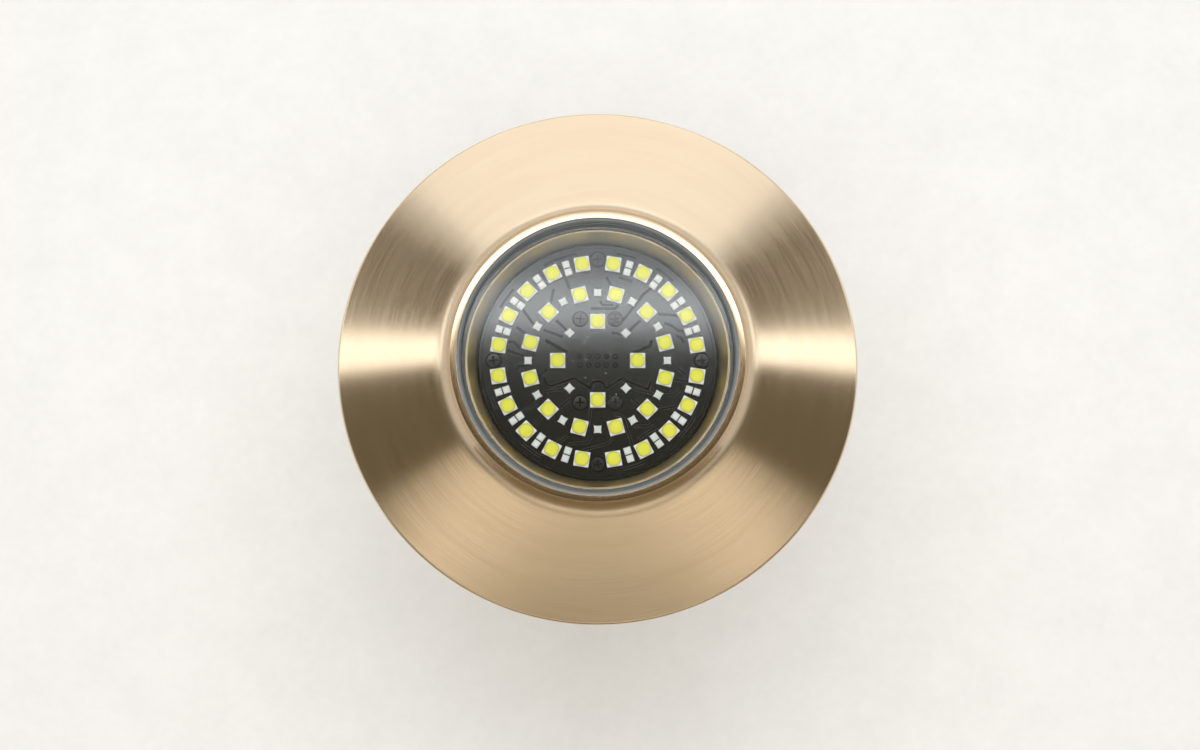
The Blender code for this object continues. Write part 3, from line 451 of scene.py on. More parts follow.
def glass_material():
    look = Look("lens_glass_clear")
    tree = look.tree
    tree.nodes.remove(look.shader)
    fresnel = look.node("ShaderNodeFresnel")
    fresnel.inputs["IOR"].default_value = 1.48
    clear = look.node("ShaderNodeBsdfTransparent", (0.985, 0.995, 0.995, 1.0))
    gloss = look.node("ShaderNodeBsdfAnisotropic", (0.93, 0.98, 1.0, 1.0))
    gloss.inputs["Roughness"].default_value = 0.095
    mix = look.node("ShaderNodeMixShader", fresnel.outputs[0], clear.outputs[0], gloss.outputs[0])
    look.put(tree.nodes["Material Output"].inputs["Surface"], mix.outputs[0])
    return look.material


GLASS = glass_material()


# Bezel, stem, glass and seal


def make_bezel():
    """Bezel and stem in one, with the thread on the stem."""
    foot_height = RIM_HEIGHT + (BEZEL_RADIUS - FLANK_FOOT) * CONE_RISE
    crest = FLANK_FOOT - (LIP_TOP - foot_height) / FLANK_RISE
    throat_bottom, throat_top = 4.0, 4.6
    groove_inner, groove_outer, groove_depth = 37.0, 40.0, 1.6
    outline = [
        (STEM_RADIUS - STEM_THREAD_DEPTH, STEM_END),
        (BORE + 0.8, STEM_END, 0.2),
        (BORE, STEM_END + 1.6, 0.5),
        (BORE, throat_bottom),
        (THROAT, throat_bottom, 0.1),
        (THROAT, throat_top, 0.1),
        (29.4, LEDGE, 0.1),
        (29.55, LEDGE),
        (29.6, LEDGE - 0.2),
        (29.75, LEDGE - 0.2),
        (29.8, LEDGE),
        (POCKET_RADIUS, LEDGE, 0.1),
        (POCKET_RADIUS, LIP_TOP, 0.1),
        (crest, LIP_TOP, 0.15),
        (FLANK_FOOT, foot_height, FLANK_FILLET),
        (BEZEL_RADIUS, RIM_HEIGHT, 0.8),
        (BEZEL_RADIUS, 0.0, 0.4),
        (groove_outer, 0.0, 0.15),
        (groove_outer, groove_depth, 0.3),
        (groove_inner, groove_depth, 0.3),
        (groove_inner, 0.0, 0.15),
        (STEM_RADIUS, 0.0, 0.3),
        (STEM_RADIUS, STEM_THREAD_TOP),
    ]
    bm = bmesh.new()
    angles = even_angles(FINE)
    add_turned(bm, outline, angles, closed=False)
    add_thread(bm, STEM_RADIUS, STEM_THREAD_TOP, STEM_END, THREAD_PITCH, STEM_THREAD_DEPTH, angles)
    bezel = paint(finish_mesh("bezel_and_stem", bm), BRONZE_BEZEL, BRONZE_LIP_PAINTED_SHADE, BRONZE_BORE)
    bore_limit, lip_limit = STEM_RADIUS - 1.5, crest + 0.3
    # The lip and its pocket wall take the darker bronze, which is painted shade against their highlight.
    for face in bezel.data.polygons:
        centre = face.center / MM
        radius = centre.xy.length
        if radius < bore_limit and centre.z > STEM_END + 1.0:
            face.material_index = 2
        elif radius < lip_limit and centre.z > LEDGE:
            face.material_index = 1
    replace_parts(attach(bezel, "housing_body"), "housing")


def make_glass():
    corners = [
        (0, GLASS_TOP),
        (GLASS_RADIUS, GLASS_TOP, 0.35),
        (GLASS_RADIUS, GLASS_BOTTOM, 0.2),
        (0, GLASS_BOTTOM),
    ]
    glass = turned("lens_glass_disc", corners, FINE, closed=False)
    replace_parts(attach(paint(glass, GLASS), "housing_body"), "lens_glass")


def make_lens_seal():
    """Seal with an L section under and around the glass, and its paler outer part."""
    under_glass, parting, outside = GLASS_RADIUS - 0.75, GLASS_RADIUS + 0.35, POCKET_RADIUS - 0.01
    beside_glass = GLASS_RADIUS + 0.02
    bottom, foot_top = LEDGE + 0.3, GLASS_BOTTOM - 0.3
    inner_corners = [
        (under_glass, bottom, 0.1),
        (parting, bottom),
        (parting, 11.2, 0.1),
        (beside_glass, 11.3),
        (beside_glass, foot_top),
        (under_glass, foot_top, 0.1),
    ]
    outer_corners = [
        (parting, bottom),
        (outside, bottom),
        (outside, 11.58),
        (outside - 0.09, 11.58, 0.1),
        (parting, 11.4, 0.15),
    ]
    inner = turned("lens_seal_inner", inner_corners, FINE)
    outer = turned("lens_seal_outer", outer_corners, FINE)
    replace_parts(inner, "lens_seal")
    for piece, material in ((inner, SEAL_INNER), (outer, SEAL_OUTER)):
        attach(paint(piece, material), "housing_body")


# Emitter board


def make_board():
    """Board with a low step round its edge."""
    step = BOARD_TOP - 0.17
    corners = [
        (0, BOARD_TOP),
        (BOARD_RADIUS - 1.0, BOARD_TOP, 0.05),
        (BOARD_RADIUS - 0.85, step, 0.05),
        (BOARD_RADIUS - 0.25, step, 0.1),
        (BOARD_RADIUS, BOARD_TOP - 0.35),
        (BOARD_RADIUS, BOARD_BOTTOM),
        (0, BOARD_BOTTOM),
    ]
    board = paint(turned("emitter_board", corners, FINE, closed=False), BOARD_BLACK)
    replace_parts(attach(board, "light_module_body"), "led_board")


def on_board(piece, *materials):
    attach(paint(piece, *materials), "light_module_body")


def on_ring(radius, degrees):
    return radius * math.cos(math.radians(degrees)), radius * math.sin(math.radians(degrees))


def ring(count, radius, first=0.0):
    """Evenly spread (x, y, degrees) places round the axis."""
    turns = [first + 360 * k / count for k in range(count)]
    return [(*on_ring(radius, turn), turn) for turn in turns]


def squircle(half, power, steps):
    """Outline of a square with round corners, or with drawn-in sides where the power is below 1."""
    points = []
    for angle in even_angles(steps):
        c, s = math.cos(angle), math.sin(angle)
        x = math.copysign(abs(c) ** (2 / power), c) * half
        y = math.copysign(abs(s) ** (2 / power), s) * half
        points.append((x, y))
    return points


def add_dome(bm, half, power, bottom, height, steps, material):
    """Rounded square pillow, flat in the middle."""
    levels, flatness = 8, 0.55
    outline = squircle(half, power, steps)
    rings = []
    for level in range(levels):
        angle = math.pi / 2 * level / levels
        shrink = math.cos(angle) ** flatness
        z = bottom + height * math.sin(angle)
        rings.append([bm.verts.new((x * shrink, y * shrink, z)) for x, y in outline])
    rings.append([bm.verts.new((0, 0, bottom + height))] * steps)
    for one, two in zip(rings, rings[1:]):
        for k in range(steps):
            n = (k + 1) % steps
            face = list(dict.fromkeys((one[k], one[n], two[n], two[k])))
            bm.faces.new(face).material_index = material


def stretched(centre, size):
    """Matrix that turns a unit cube or square into a box or sheet of a size, round a centre."""
    return Matrix.Translation(centre) @ Matrix.Diagonal((*size, 1))


def add_box(bm, size, centre, bevel):
    made = bmesh.ops.create_cube(bm, size=1, matrix=stretched(centre, size))
    edges = list({edge for vert in made["verts"] for edge in vert.link_edges})
    bmesh.ops.bevel(bm, geom=edges, offset=bevel, segments=2, affect="EDGES", profile=0.5)


def add_prism(bm, outline, bottom, top):
    """Upright prism over an outline, with a small chamfer round its top."""
    chamfer = 0.05
    levels = ((1.0, bottom), (1.0, top - chamfer), (1.0 - chamfer, top))
    rings = [[bm.verts.new((x * share, y * share, z)) for x, y in outline] for share, z in levels]
    for one, two in zip(rings, rings[1:]):
        for k in range(len(outline)):
            n = (k + 1) % len(outline)
            bm.faces.new((one[k], one[n], two[n], two[k]))
    bm.faces.new(rings[0])
    bm.faces.new(rings[-1])


def copies(name, build, places):
    """One object with a copy of what build adds at each (x, y, degrees) place."""
    bm = bmesh.new()
    for x, y, degrees in places:
        part = bmesh.new()
        build(part)
        part.transform(Matrix.Translation((x, y, 0)) @ Matrix.Rotation(math.radians(degrees), 4, "Z"))
        mesh = bpy.data.meshes.new("part")
        part.to_mesh(mesh)
        part.free()
        bm.from_mesh(mesh)
        bpy.data.meshes.remove(mesh)
    return finish_mesh(name, bm)


def make_large_emitters():
    """Square packages with a pillow of phosphor, whose edge shows as a thin dull line."""

    def large(bm):
        add_box(bm, (LARGE_EMITTER, LARGE_EMITTER, 0.6), (0, 0, BOARD_TOP + 0.25), 0.06)
        add_dome(bm, 1.63, 2.35, BOARD_TOP + 0.545, 0.06, 40, 2)
        add_dome(bm, 1.56, 2.35, BOARD_TOP + 0.55, 0.4, 40, 1)

    places = ring(4, 9.10) + ring(12, 15.87, 15) + ring(20, 22.85, 9)
    on_board(copies("large_emitters", large, places), CERAMIC, PHOSPHOR, EMITTER_EDGE)


def make_small_emitters():
    """Pairs between the large emitters of the outer ring, and single ones on the inner rings.

    Every fifth pair is left out, as a screw sits there. The single ones have drawn-in sides."""
    pair_radius, pair_pitch = 22.7, 1.87
    pairs = []
    for k in range(20):
        if k % 5:
            radii = (pair_radius - pair_pitch / 2, pair_radius + pair_pitch / 2)
            pairs += [(*on_ring(radius, 18 * k), 18 * k) for radius in radii]

    def small(bm):
        add_box(bm, (SMALL_EMITTER, SMALL_EMITTER, 0.55), (0, 0, BOARD_TOP + 0.225), 0.05)
        add_dome(bm, 0.62, 3.0, BOARD_TOP + 0.48, 0.06, 24, 1)

    def single(bm):
        add_prism(bm, squircle(1.28, 0.82, 40), BOARD_TOP - 0.05, BOARD_TOP + 0.5)

    on_board(copies("small_emitters", small, pairs), CHIP, CHIP_MIDDLE)
    singles = [(x, y, turn + 45) for x, y, turn in ring(4, 9.05, 45) + ring(12, 15.85)]
    on_board(copies("single_emitters", single, singles), CHIP)


def add_ridge(bm, points, width, height):
    """Raised line through points on the board, with mitred bends and sloping sides."""
    places = [Vector(point) for point in points]
    sunk, top_share, sharpest = -0.05, 0.7, 0.5
    rows = []
    for k, place in enumerate(places):
        ahead = (places[k + 1] - place) if k + 1 < len(places) else (place - places[k - 1])
        behind = (place - places[k - 1]) if k else ahead
        along = (ahead.normalized() + behind.normalized()).normalized()
        side = Vector((-along.y, along.x)) * width / 2 / max(sharpest, along.dot(ahead.normalized()))
        top = side * top_share
        row = [(place + side, sunk), (place + top, height), (place - top, height), (place - side, sunk)]
        rows.append([bm.verts.new((*spot, BOARD_TOP + rise)) for spot, rise in row])
    for one, two in zip(rows, rows[1:]):
        for k in range(4):
            bm.faces.new((one[k], one[(k + 1) % 4], two[(k + 1) % 4], two[k]))
    bm.faces.new(rows[0])
    bm.faces.new(rows[-1])


def arc_points(radius, first, last, centre=(0.0, 0.0)):
    steps = max(3, round(abs(last - first) / 4))
    turns = [first + (last - first) * k / steps for k in range(steps + 1)]
    return [Vector(centre) + Vector(on_ring(radius, turn)) for turn in turns]


# Fine conductors between the emitters: (radius in mm, degrees) of each bend
TRACES = (
    ((21.1, 145), (16.9, 150)),
    ((20.1, 157), (17.7, 159)),
    ((14.4, 150), (9.7, 145)),
    ((13.4, 135), (9.9, 135)),
    ((21.1, 168), (19.6, 167), (17.9, 171)),
    ((20.7, 173), (16.5, 177)),
    ((18.6, 187), (18.0, 184), (16.5, 184)),
    ((13.8, 195), (11.7, 190)),
    ((14.2, 210), (10.0, 221)),
    ((14.0, 231), (10.6, 235)),
    ((21.2, 215), (16.5, 215)),
    ((20.8, 226), (17.9, 226)),
    ((21.6, 243), (18.5, 249)),
    ((21.0, 251), (20.1, 252), (18.9, 263), (17.3, 266)),
    ((20.8, 261), (19.2, 276), (18.2, 281)),
    ((11.0, 262), (15.2, 262)),
    ((12.9, 288), (14.1, 294), (21.4, 292)),
    ((17.1, 298), (19.0, 308), (18.9, 311)),
    ((20.4, 297), (19.9, 301), (20.4, 312)),
    ((17.9, 321), (20.9, 330)),
    ((17.1, 332), (19.2, 336), (20.0, 342)),
    ((11.6, 312), (13.9, 313)),
    ((10.4, 321), (14.8, 329)),
    ((18.1, 346), (21.6, 347)),
    ((16.9, 358), (20.2, 351)),
    ((18.9, 18), (19.7, 16), (20.2, 12)),
    ((17.6, 30), (18.8, 26), (19.6, 21), (21.2, 19)),
    ((17.7, 38), (21.1, 30)),
    ((9.5, 44), (13.6, 44)),
    ((7.3, 64), (8.3, 48)),
    ((11.1, 58), (18.7, 56), (21.3, 54)),
    ((12.3, 97), (12.8, 72), (13.7, 70)),
    ((14.0, 88), (13.1, 85), (13.5, 75)),
    ((19.7, 84), (17.9, 80)),
    ((20.2, 76), (20.1, 67)),
    ((21.4, 111), (17.7, 111)),
    ((19.6, 121), (16.8, 130)),
)

# Lines where the board's parts are divided: (x, y) in mm
DIVIDING_LINES = (
    ((-11.9, 4.8), (-7.0, 1.9)),
    ((12.4, 4.8), (11.9, 3.4), (7.2, 1.5)),
    ((-12.05, -4.1), (-11.6, -5.4), (-10.7, -5.9), (-5.3, -4.0), (-1.4, -6.5)),
    ((1.9, -6.5), (5.35, -4.1), (11.4, -6.6), (12.1, -5.0)),
)

# Arcs along the board's rim: first and last degrees
RIM_MARKS = ((47, 58), (70, 80), (101, 119), (139, 151), (198, 206), (228, 240), (282, 295), (317, 330))

# Small plated holes: (x, y) in mm
VIAS = (
    (-2.3, 5.6),
    (-3.0, 4.3),
    (-5.7, 0.0),
    (-2.7, 0.35),
    (2.9, 1.6),
    (1.9, -2.9),
    (-2.8, -3.9),
    (4.2, -7.8),
)

# Screws near the board's centre: (x, y) in mm, and the turn of the recess in degrees
INNER_SCREWS = ((4.0, 9.7, 6), (-4.0, 9.7, -8), (-4.0, -9.7, 4), (4.0, -9.7, -5))


def round_spot(radius, height, steps=20):
    """Builder of a low domed spot on the board, for copies()."""
    outline = [
        (0, BOARD_TOP + height),
        (radius * 0.55, BOARD_TOP + height * 0.85),
        (radius * 0.9, BOARD_TOP + height * 0.4),
        (radius, BOARD_TOP),
        (0, BOARD_TOP - 0.05),
    ]
    return lambda bm: add_turned(bm, outline, even_angles(steps), closed=False)


def make_board_lines():
    """Lines painted near-black as shade of their relief, each on a lower and paler strip that is a painted
    highlight along their edges.
    """
    rim_radius, hump_radius, hump_centre = 25.5, 1.7, (0.0, -6.4)
    highlight_margin, highlight_height = 0.2, 0.02
    traces = [[on_ring(radius, turn) for radius, turn in line] for line in TRACES]
    traces += [arc_points(rim_radius, first, last) for first, last in RIM_MARKS]
    dividing = [*DIVIDING_LINES, arc_points(hump_radius, 0, 180, hump_centre)]
    kinds = (
        ("board_traces", traces, 0.46, 0.09),
        ("board_dividing_lines", dividing, 0.66, 0.12),
    )
    for name, lines, width, height in kinds:
        line_bm, highlight_bm = bmesh.new(), bmesh.new()
        for line in lines:
            add_ridge(line_bm, line, width, height)
            # Each line's paler strip is a painted highlight along its edges.
            add_ridge(highlight_bm, line, width + 2 * highlight_margin, highlight_height)
        # The lines' near-black is painted shade of their relief.
        on_board(finish_mesh(name, line_bm), BLACK_AND_PAINTED_SHADE)
        on_board(finish_mesh(name + "_painted_highlight", highlight_bm), TRACE_PAINTED_HIGHLIGHT)


def make_board_screws():
    """Low black screws with a cross recess, each on a thin washer."""
    height, radius = 0.45, 1.6
    slot_width, slot_length, slot_depth = 0.34, 2.0, 0.4
    head = bmesh.new()
    outline = [(0, height), (radius, height, 0.18), (radius, -0.1), (0, -0.1)]
    add_turned(head, outline, even_angles(48), closed=False)
    for across in ((slot_width, slot_length), (slot_length, slot_width)):
        cutter = bmesh.new()
        bmesh.ops.create_cube(cutter, size=1, matrix=stretched((0, 0, height), (*across, 2 * slot_depth)))
        head = cut_out(head, cutter)
    head.transform(Matrix.Translation((0, 0, BOARD_TOP)))
    mesh = bpy.data.meshes.new("screw_head")
    head.to_mesh(mesh)
    head.free()
    # Faces down in the cross recess take the near-black material: painted shade in the recess.
    recess_radius, head_top = 1.2, BOARD_TOP + height
    for face in mesh.polygons:
        if face.center.xy.length < recess_radius and BOARD_TOP < face.center.z < head_top - 0.01:
            face.material_index = 1
    outer_turn, outer_radius = 7, 23.73
    places = [(x, y, outer_turn) for x, y, _ in ring(4, outer_radius)] + list(INNER_SCREWS)
    on_board(copies("board_screws", lambda bm: bm.from_mesh(mesh), places), SCREW_BLACK, BLACK_AND_PAINTED_SHADE)
    bpy.data.meshes.remove(mesh)
    on_board(copies("board_screw_washers", round_spot(1.86, 0.04, 48), places), BLACK_AND_PAINTED_SHADE)


def make_solder_points():
    rows = (-HEADER_PITCH / 2, HEADER_PITCH / 2)
    header = [(HEADER_PITCH * k, row, 0) for k in range(-2, 3) for row in rows]
    on_board(copies("header_solder_points", round_spot(0.47, 0.4), header), SOLDER)
    on_board(copies("header_solder_pads", round_spot(0.62, 0.03), header), BLACK_AND_PAINTED_SHADE)
    on_board(copies("board_vias", round_spot(0.17, 0.05), [(x, y, 0) for x, y in VIAS]), VIA)


# Wall clamp, lock ring, rear cap and gland


def oval(radius, middle, across, height):
    """Section of a squeezed O-ring."""
    return [(radius + across / 2 * math.cos(t), middle + height / 2 * math.sin(t)) for t in even_angles(24)]


def flat_ring(inside, outside, top, bottom, inner_rounding, outer_rounding):
    """Section of a washer."""
    return [
        (inside, top, inner_rounding),
        (outside, top, outer_rounding),
        (outside, bottom, outer_rounding),
        (inside, bottom, inner_rounding),
    ]


def make_seals_and_washer():
    ring_section = oval(38.5, 0.83, 2.4, 1.3)
    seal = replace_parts(turned("flange_o_ring", ring_section), "flange_seal")
    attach(paint(seal, BLACK_RUBBER), "housing_body")
    gasket = turned("wall_gasket", flat_ring(THREADED_BORE, 44.0, -13.0, -14.7, 0.15, 0.3))
    paint(gasket, BLACK_RUBBER)
    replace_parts(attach(gasket, "backing_body"), "inner_gasket")
    washer = turned("clamp_washer", flat_ring(THREADED_BORE, 46.0, -15.0, -19.0, 0.3, 0.8), FINE)
    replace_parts(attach(paint(washer, BRONZE), "backing_body"), "backing_washer")


def chamfered_corner(across_flats, rounding, angle, end, outward, toward):
    """Two corners of a hexagon's outline, where a turned chamfer meets its end face.

    They run from the face outward, or back to it. The hexagon lies above its end face, toward 1, or
    below it, toward -1."""
    start = across_flats / 2 - 0.3
    r = hex_radius(across_flats, rounding, angle)
    pair = [(start, end), (r, end + toward * CHAMFER_RISE * (r - start))]
    return pair if outward else pair[::-1]


def make_wall_nut():
    """Hexagon nut with a round flange."""
    flats, rounding, steps_per_flat = 76.0, 0.9, 56
    flange_radius, flange_bottom = 45.5, NUT_TOP - 3.0

    def outline(angle):
        r = hex_radius(flats, rounding, angle)
        return [
            (THREADED_BORE + INNER_THREAD_DEPTH, NUT_BOTTOM),
            *chamfered_corner(flats, rounding, angle, NUT_BOTTOM, True, 1),
            (r, flange_bottom),
            (flange_radius, flange_bottom, 0.8),
            (flange_radius, NUT_TOP, 0.8),
            (THREADED_BORE, NUT_TOP),
        ]

    angles = hex_angles(flats, rounding, steps_per_flat)
    bm = bmesh.new()
    add_turned(bm, outline, angles, closed=False)
    add_thread(bm, THREADED_BORE, NUT_TOP, NUT_BOTTOM, THREAD_PITCH, -INNER_THREAD_DEPTH, angles)
    nut = paint(finish_mesh("clamp_nut", bm, sharp=14), BRONZE_MILLED)
    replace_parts(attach(nut, "wall_nut_body"), "wall_nut")


def make_lock_ring():
    """Ring nut with round notches for a hook spanner.

    Its steps round the axis crowd together at the notches' edges."""
    lip_radius, outside = 27.5, 37.5
    top, lip_top, bottom = -46.0, -63.6, -67.6
    notch_centre, notch_radius, softness = 38.5, 2.6, 0.12
    half_turns = (0.0, 0.7, 1.4, 2.1, 2.6, 2.95, 3.2, 3.4, 3.55, 3.7, 3.9, 4.3, 5.5, 8.0, 11.0, 15.0)
    turns = sorted({side * turn for turn in half_turns for side in (-1, 1)} - {-15.0})
    angles = [math.radians(15 + 30 * k + turn) for k in range(12) for turn in turns]

    def notched(angle, radius):
        from_notch = angle % (math.pi / 6) - math.pi / 12
        inside = notch_radius**2 - (notch_centre * math.sin(from_notch)) ** 2
        if inside <= 0:
            return radius
        floor = notch_centre * math.cos(from_notch) - math.sqrt(inside)
        return radius - softness * math.log1p(math.exp((radius - floor) / softness))

    outline = [
        (THREADED_BORE + INNER_THREAD_DEPTH, lip_top),
        (lip_radius, lip_top, 0.3),
        (lip_radius, bottom, 0.3),
        (outside, bottom, 1.6),
        (outside, top, 0.8),
        (THREADED_BORE, top),
    ]
    bm = bmesh.new()
    add_turned(bm, outline, angles, closed=False, limit=notched)
    add_thread(bm, THREADED_BORE, top, lip_top, THREAD_PITCH, -INNER_THREAD_DEPTH, angles)
    lock = paint(finish_mesh("lock_ring_nut", bm), BRONZE)
    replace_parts(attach(lock, "lock_ring_body"), "lock_ring")


def make_rear_cap():
    """Cap with a spigot and its O-ring groove, a flange, and a neck with the snap ring's groove."""
    hollow, spigot, spigot_top = 20.3, 23.3, -49.7
    ring_seat, ring_top, ring_bottom = 21.9, -52.2, -54.6
    flange, flange_top, flange_bottom = 31.0, -58.3, -63.3
    neck, snap_seat, snap_top, snap_bottom = 27.0, 25.8, -67.75, -69.15
    gland_hole = 8.3
    outline = [
        (hollow, spigot_top, 0.3),
        (spigot, spigot_top, 0.3),
        (spigot, ring_top, 0.15),
        (ring_seat, ring_top, 0.2),
        (ring_seat, ring_bottom, 0.2),
        (spigot, ring_bottom, 0.15),
        (spigot, flange_top, 0.2),
        (flange, flange_top, 0.3),
        (flange, flange_bottom, 0.3),
        (neck, flange_bottom, 0.3),
        (neck, snap_top, 0.15),
        (snap_seat, snap_top, 0.15),
        (snap_seat, snap_bottom, 0.15),
        (neck, snap_bottom, 0.15),
        (neck, CAP_END, 0.8),
        (gland_hole, CAP_END, 0.3),
        (gland_hole, flange_top, 0.3),
        (hollow, flange_top, 0.5),
    ]
    cap = turned("module_rear_cap", outline, FINE)
    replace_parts(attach(paint(cap, BRONZE), "light_module_body"), "rear_cap")


def make_snap_ring():
    """Flat open ring with two holes for pliers beside its gap."""
    inside, outside, top, bottom = 26.1, 29.2, -67.9, -69.0
    middle = (top + bottom) / 2
    gap_size, hole_radius, hole_turn = (14.0, 7.0, 4.4), 0.75, 11.0
    bm = bmesh.new()
    outline = [(inside, top, 0.12), (outside, top, 0.2), (outside, bottom, 0.2), (inside, bottom, 0.12)]
    add_turned(bm, outline, even_angles(ROUND))
    gap = bmesh.new()
    bmesh.ops.create_cube(gap, size=1, matrix=stretched((outside, 0, middle), gap_size))
    bm = cut_out(bm, gap)
    for side in (-1, 1):
        hole = bmesh.new()
        x, y = on_ring((inside + outside) / 2, side * hole_turn)
        bmesh.ops.create_cone(
            hole,
            cap_ends=True,
            segments=24,
            radius1=hole_radius,
            radius2=hole_radius,
            depth=4.0,
            matrix=Matrix.Translation((x, y, middle)),
        )
        bm = cut_out(bm, hole)
    snap = paint(finish_mesh("snap_ring_open", bm), STEEL)
    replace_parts(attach(snap, "light_module_body"), "snap_ring")


def make_gland_body():
    """Hexagon with a spigot into the cap above it, and a threaded barrel below it that holds the seal."""
    barrel, seat, seat_top, barrel_end = 9.0, 7.3, -79.6, -87.6
    cable_hole, spigot, spigot_top = 4.5, 8.0, -61.1
    ring_groove, groove_top = 10.2, -73.7
    hex_top, hex_bottom = -72.1, -78.6
    thread_top = hex_bottom - 0.6

    def outline(angle):
        r = hex_radius(GLAND_FLATS, GLAND_ROUNDING, angle)
        return [
            (barrel - GLAND_THREAD_DEPTH, barrel_end),
            (seat, barrel_end, 0.2),
            (seat, seat_top),
            (cable_hole, seat_top, 0.2),
            (cable_hole, spigot_top, 0.2),
            (spigot, spigot_top, 0.6),
            (spigot, groove_top),
            (ring_groove, groove_top),
            (ring_groove, hex_top),
            (r, hex_top),
            *chamfered_corner(GLAND_FLATS, GLAND_ROUNDING, angle, hex_bottom, False, 1),
            (barrel, hex_bottom, 0.2),
            (barrel, thread_top),
        ]

    angles = hex_angles(GLAND_FLATS, GLAND_ROUNDING, GLAND_STEPS_PER_FLAT)
    bm = bmesh.new()
    add_turned(bm, outline, angles, closed=False)
    add_thread(bm, barrel, thread_top, barrel_end, GLAND_PITCH, GLAND_THREAD_DEPTH, angles)
    body = paint(finish_mesh("gland_hex_body", bm, sharp=14), BRONZE_MILLED)
    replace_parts(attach(body, "light_module_body"), "gland_body")


def make_gland_nut():
    """Hexagon nut with a domed end."""
    bore, thread_depth, thread_bottom = 9.5, 0.5, -89.0
    cable_hole, shoulder, end = 5.0, -92.2, -96.6
    dome, dome_rounding = 10.7, 4.5
    hex_top, hex_bottom = -80.1, -89.9

    def outline(angle):
        r = hex_radius(GLAND_FLATS, GLAND_ROUNDING, angle)
        return [
            (bore + thread_depth, thread_bottom),
            (bore, thread_bottom - 0.2),
            (bore, shoulder, 0.2),
            (cable_hole, shoulder, 0.2),
            (cable_hole, end, 0.3),
            (dome, end, dome_rounding),
            (dome, hex_bottom),
            (r, hex_bottom + CHAMFER_RISE * (r - dome)),
            *chamfered_corner(GLAND_FLATS, GLAND_ROUNDING, angle, hex_top, False, -1),
            (bore, hex_top),
        ]

    angles = hex_angles(GLAND_FLATS, GLAND_ROUNDING, GLAND_STEPS_PER_FLAT)
    bm = bmesh.new()
    add_turned(bm, outline, angles, closed=False)
    add_thread(bm, bore, hex_top, thread_bottom, GLAND_PITCH, -thread_depth, angles)
    nut = paint(finish_mesh("gland_dome_nut", bm, sharp=14), BRONZE_MILLED)
    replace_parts(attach(nut, "gland_nut_body"), "gland_nut")


def dress_nodes():
    """Materials of the CAD nodes whose shape stays."""
    for name, material in NODE_LOOKS.items():
        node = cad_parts[name]
        for slot in node.material_slots:
            slot.material = material


# Floor, light and camera


def softbox(name, x_range, y_range, radiance, colour=(1.0, 1.0, 1.0), height=1.0, seen=True):
    """Area light that shines down, at the reflection directions x/z and y/z from the bezel.

    One that isn't seen lights dull surfaces only, and no metal or glass shows it."""
    light = bpy.data.lights.new(name, "AREA")
    light.shape = "RECTANGLE"
    light.size = (x_range[1] - x_range[0]) * height
    light.size_y = (y_range[1] - y_range[0]) * height
    light.energy = radiance * 4 * light.size * light.size_y
    light.color = colour
    lamp = bpy.data.objects.new(name, light)
    lamp.location = (sum(x_range) / 2 * height, sum(y_range) / 2 * height, height)
    lamp.visible_camera = False
    lamp.visible_glossy = seen
    bpy.context.scene.collection.objects.link(lamp)


# Colour of the studio round the light, by the sine of the height above the horizon
WORLD_BY_HEIGHT = (
    (0.0, (0.66, 0.65, 0.63)),
    (0.42, (0.60, 0.59, 0.57)),
    (0.62, (0.13, 0.112, 0.075)),
    (1.0, (0.115, 0.093, 0.048)),
)


def make_world():
    world = bpy.data.worlds.new("studio")
    bpy.context.scene.world = world
    world.use_nodes = True
    tree = world.node_tree
    direction = tree.nodes.new("ShaderNodeTexCoord")
    split = tree.nodes.new("ShaderNodeSeparateXYZ")
    tree.links.new(direction.outputs["Generated"], split.inputs[0])
    ramp = tree.nodes.new("ShaderNodeValToRGB")
    tree.links.new(split.outputs["Z"], ramp.inputs[0])
    stops = ramp.color_ramp.elements
    for place, _ in WORLD_BY_HEIGHT[1:-1]:
        stops.new(place)
    for stop, (place, colour) in zip(stops, WORLD_BY_HEIGHT):
        stop.color = (*colour, 1.0)
    tree.links.new(ramp.outputs[0], tree.nodes["Background"].inputs["Color"])


def make_floor():
    """Pale floor, low enough to stay clear of the gland when the module is screwed out."""
    bm = bmesh.new()
    bmesh.ops.create_grid(bm, x_segments=8, y_segments=8, size=4000.0)
    bmesh.ops.translate(bm, vec=(0, 0, FLOOR_HEIGHT), verts=bm.verts)
    look = plain_soft("floor_paint", (0.74, 0.74, 0.73), (0.78, 0.78, 0.77), 0.7, grain=300.0, depth=0.00002)
    paint(finish_mesh("floor", bm), look)


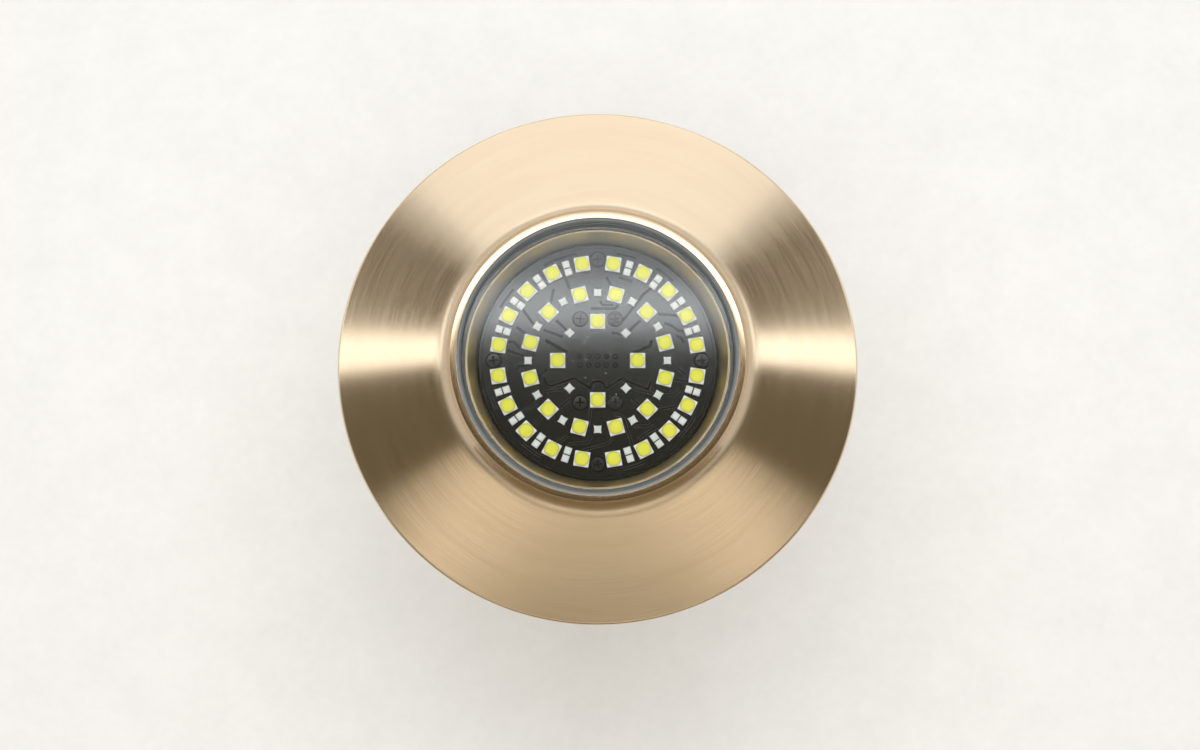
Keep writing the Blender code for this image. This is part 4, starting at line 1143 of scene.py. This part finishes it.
def make_dark_card():
    """Dark card in front, out of the picture, which the near side of the bezel's flank reflects."""
    distance, half_width, bottom, top = 300.0, 550.0, -97.0, 125.0
    centre = Matrix.Translation((0, -distance, (bottom + top) / 2))
    upright = Matrix.Rotation(math.radians(90), 4, "X")
    size = Matrix.Diagonal((half_width, (top - bottom) / 2, 1, 1))
    bm = bmesh.new()
    bmesh.ops.create_grid(bm, x_segments=4, y_segments=4, size=1.0, matrix=centre @ upright @ size)
    look = plain_soft("card_brown", (0.17, 0.13, 0.07), (0.21, 0.16, 0.085), 0.8)
    card = paint(finish_mesh("dark_card", bm), look)
    card.visible_camera = False
    card.visible_diffuse = False
    card.visible_shadow = False


def make_camera():
    """Camera at the photograph's angle, fitted to its rings of emitters."""
    camera = bpy.data.cameras.new("camera")
    camera.lens = 52.65
    camera.sensor_width = 36.0
    camera.shift_x = 0.001925
    camera.shift_y = -0.01224
    camera.clip_start = 0.01
    camera.clip_end = 20.0
    eye = bpy.data.objects.new("camera", camera)
    eye.location = (0.0, -0.07526, 0.39704)
    eye.rotation_euler = (math.radians(10.866), 0.0, 0.0)
    bpy.context.scene.collection.objects.link(eye)
    bpy.context.scene.camera = eye


def make_lamps():
    """Soft lamps over the bezel. One at the same height as another would hide it where they overlap."""
    cool, warm = (1.0, 1.02, 1.06), (1.0, 0.92, 0.80)
    softbox("overhead", (-0.42, 0.42), (0.212, 0.70), 0.90, cool)
    softbox("overhead_edge", (-0.42, 0.42), (0.231, 0.298), 3.3, height=0.98)
    softbox("overhead_back", (-0.66, 0.66), (0.68, 1.0), 0.72, cool)
    softbox("overhead_far", (-1.1, 1.1), (0.97, 3.2), 0.74, cool)
    softbox("front_fill", (-0.72, 0.72), (-0.58, -0.20), 0.61, warm)
    softbox("front_low", (-1.0, 1.0), (-2.4, -0.78), 0.40, warm)
    softbox("strip_left", (-1.60, -0.50), (0.212, 0.37), 1.30)
    softbox("strip_right", (0.50, 1.60), (0.212, 0.37), 1.30)
    softbox("side_left", (-3.0, -1.2), (0.42, 1.2), 0.80, height=0.96)
    softbox("side_right", (1.2, 3.0), (0.42, 1.2), 0.80, height=0.96)
    softbox("room", (-0.6, 0.6), (-0.6, 0.6), 1.6, height=1.1, seen=False)


make_bezel()
make_glass()
make_lens_seal()
make_board()
make_large_emitters()
make_small_emitters()
make_board_lines()
make_board_screws()
make_solder_points()
make_seals_and_washer()
make_wall_nut()
make_lock_ring()
make_rear_cap()
make_snap_ring()
make_gland_body()
make_gland_nut()
dress_nodes()
make_world()
make_floor()
make_lamps()
make_dark_card()
make_camera()
bpy.context.scene.view_settings.view_transform = "Standard"
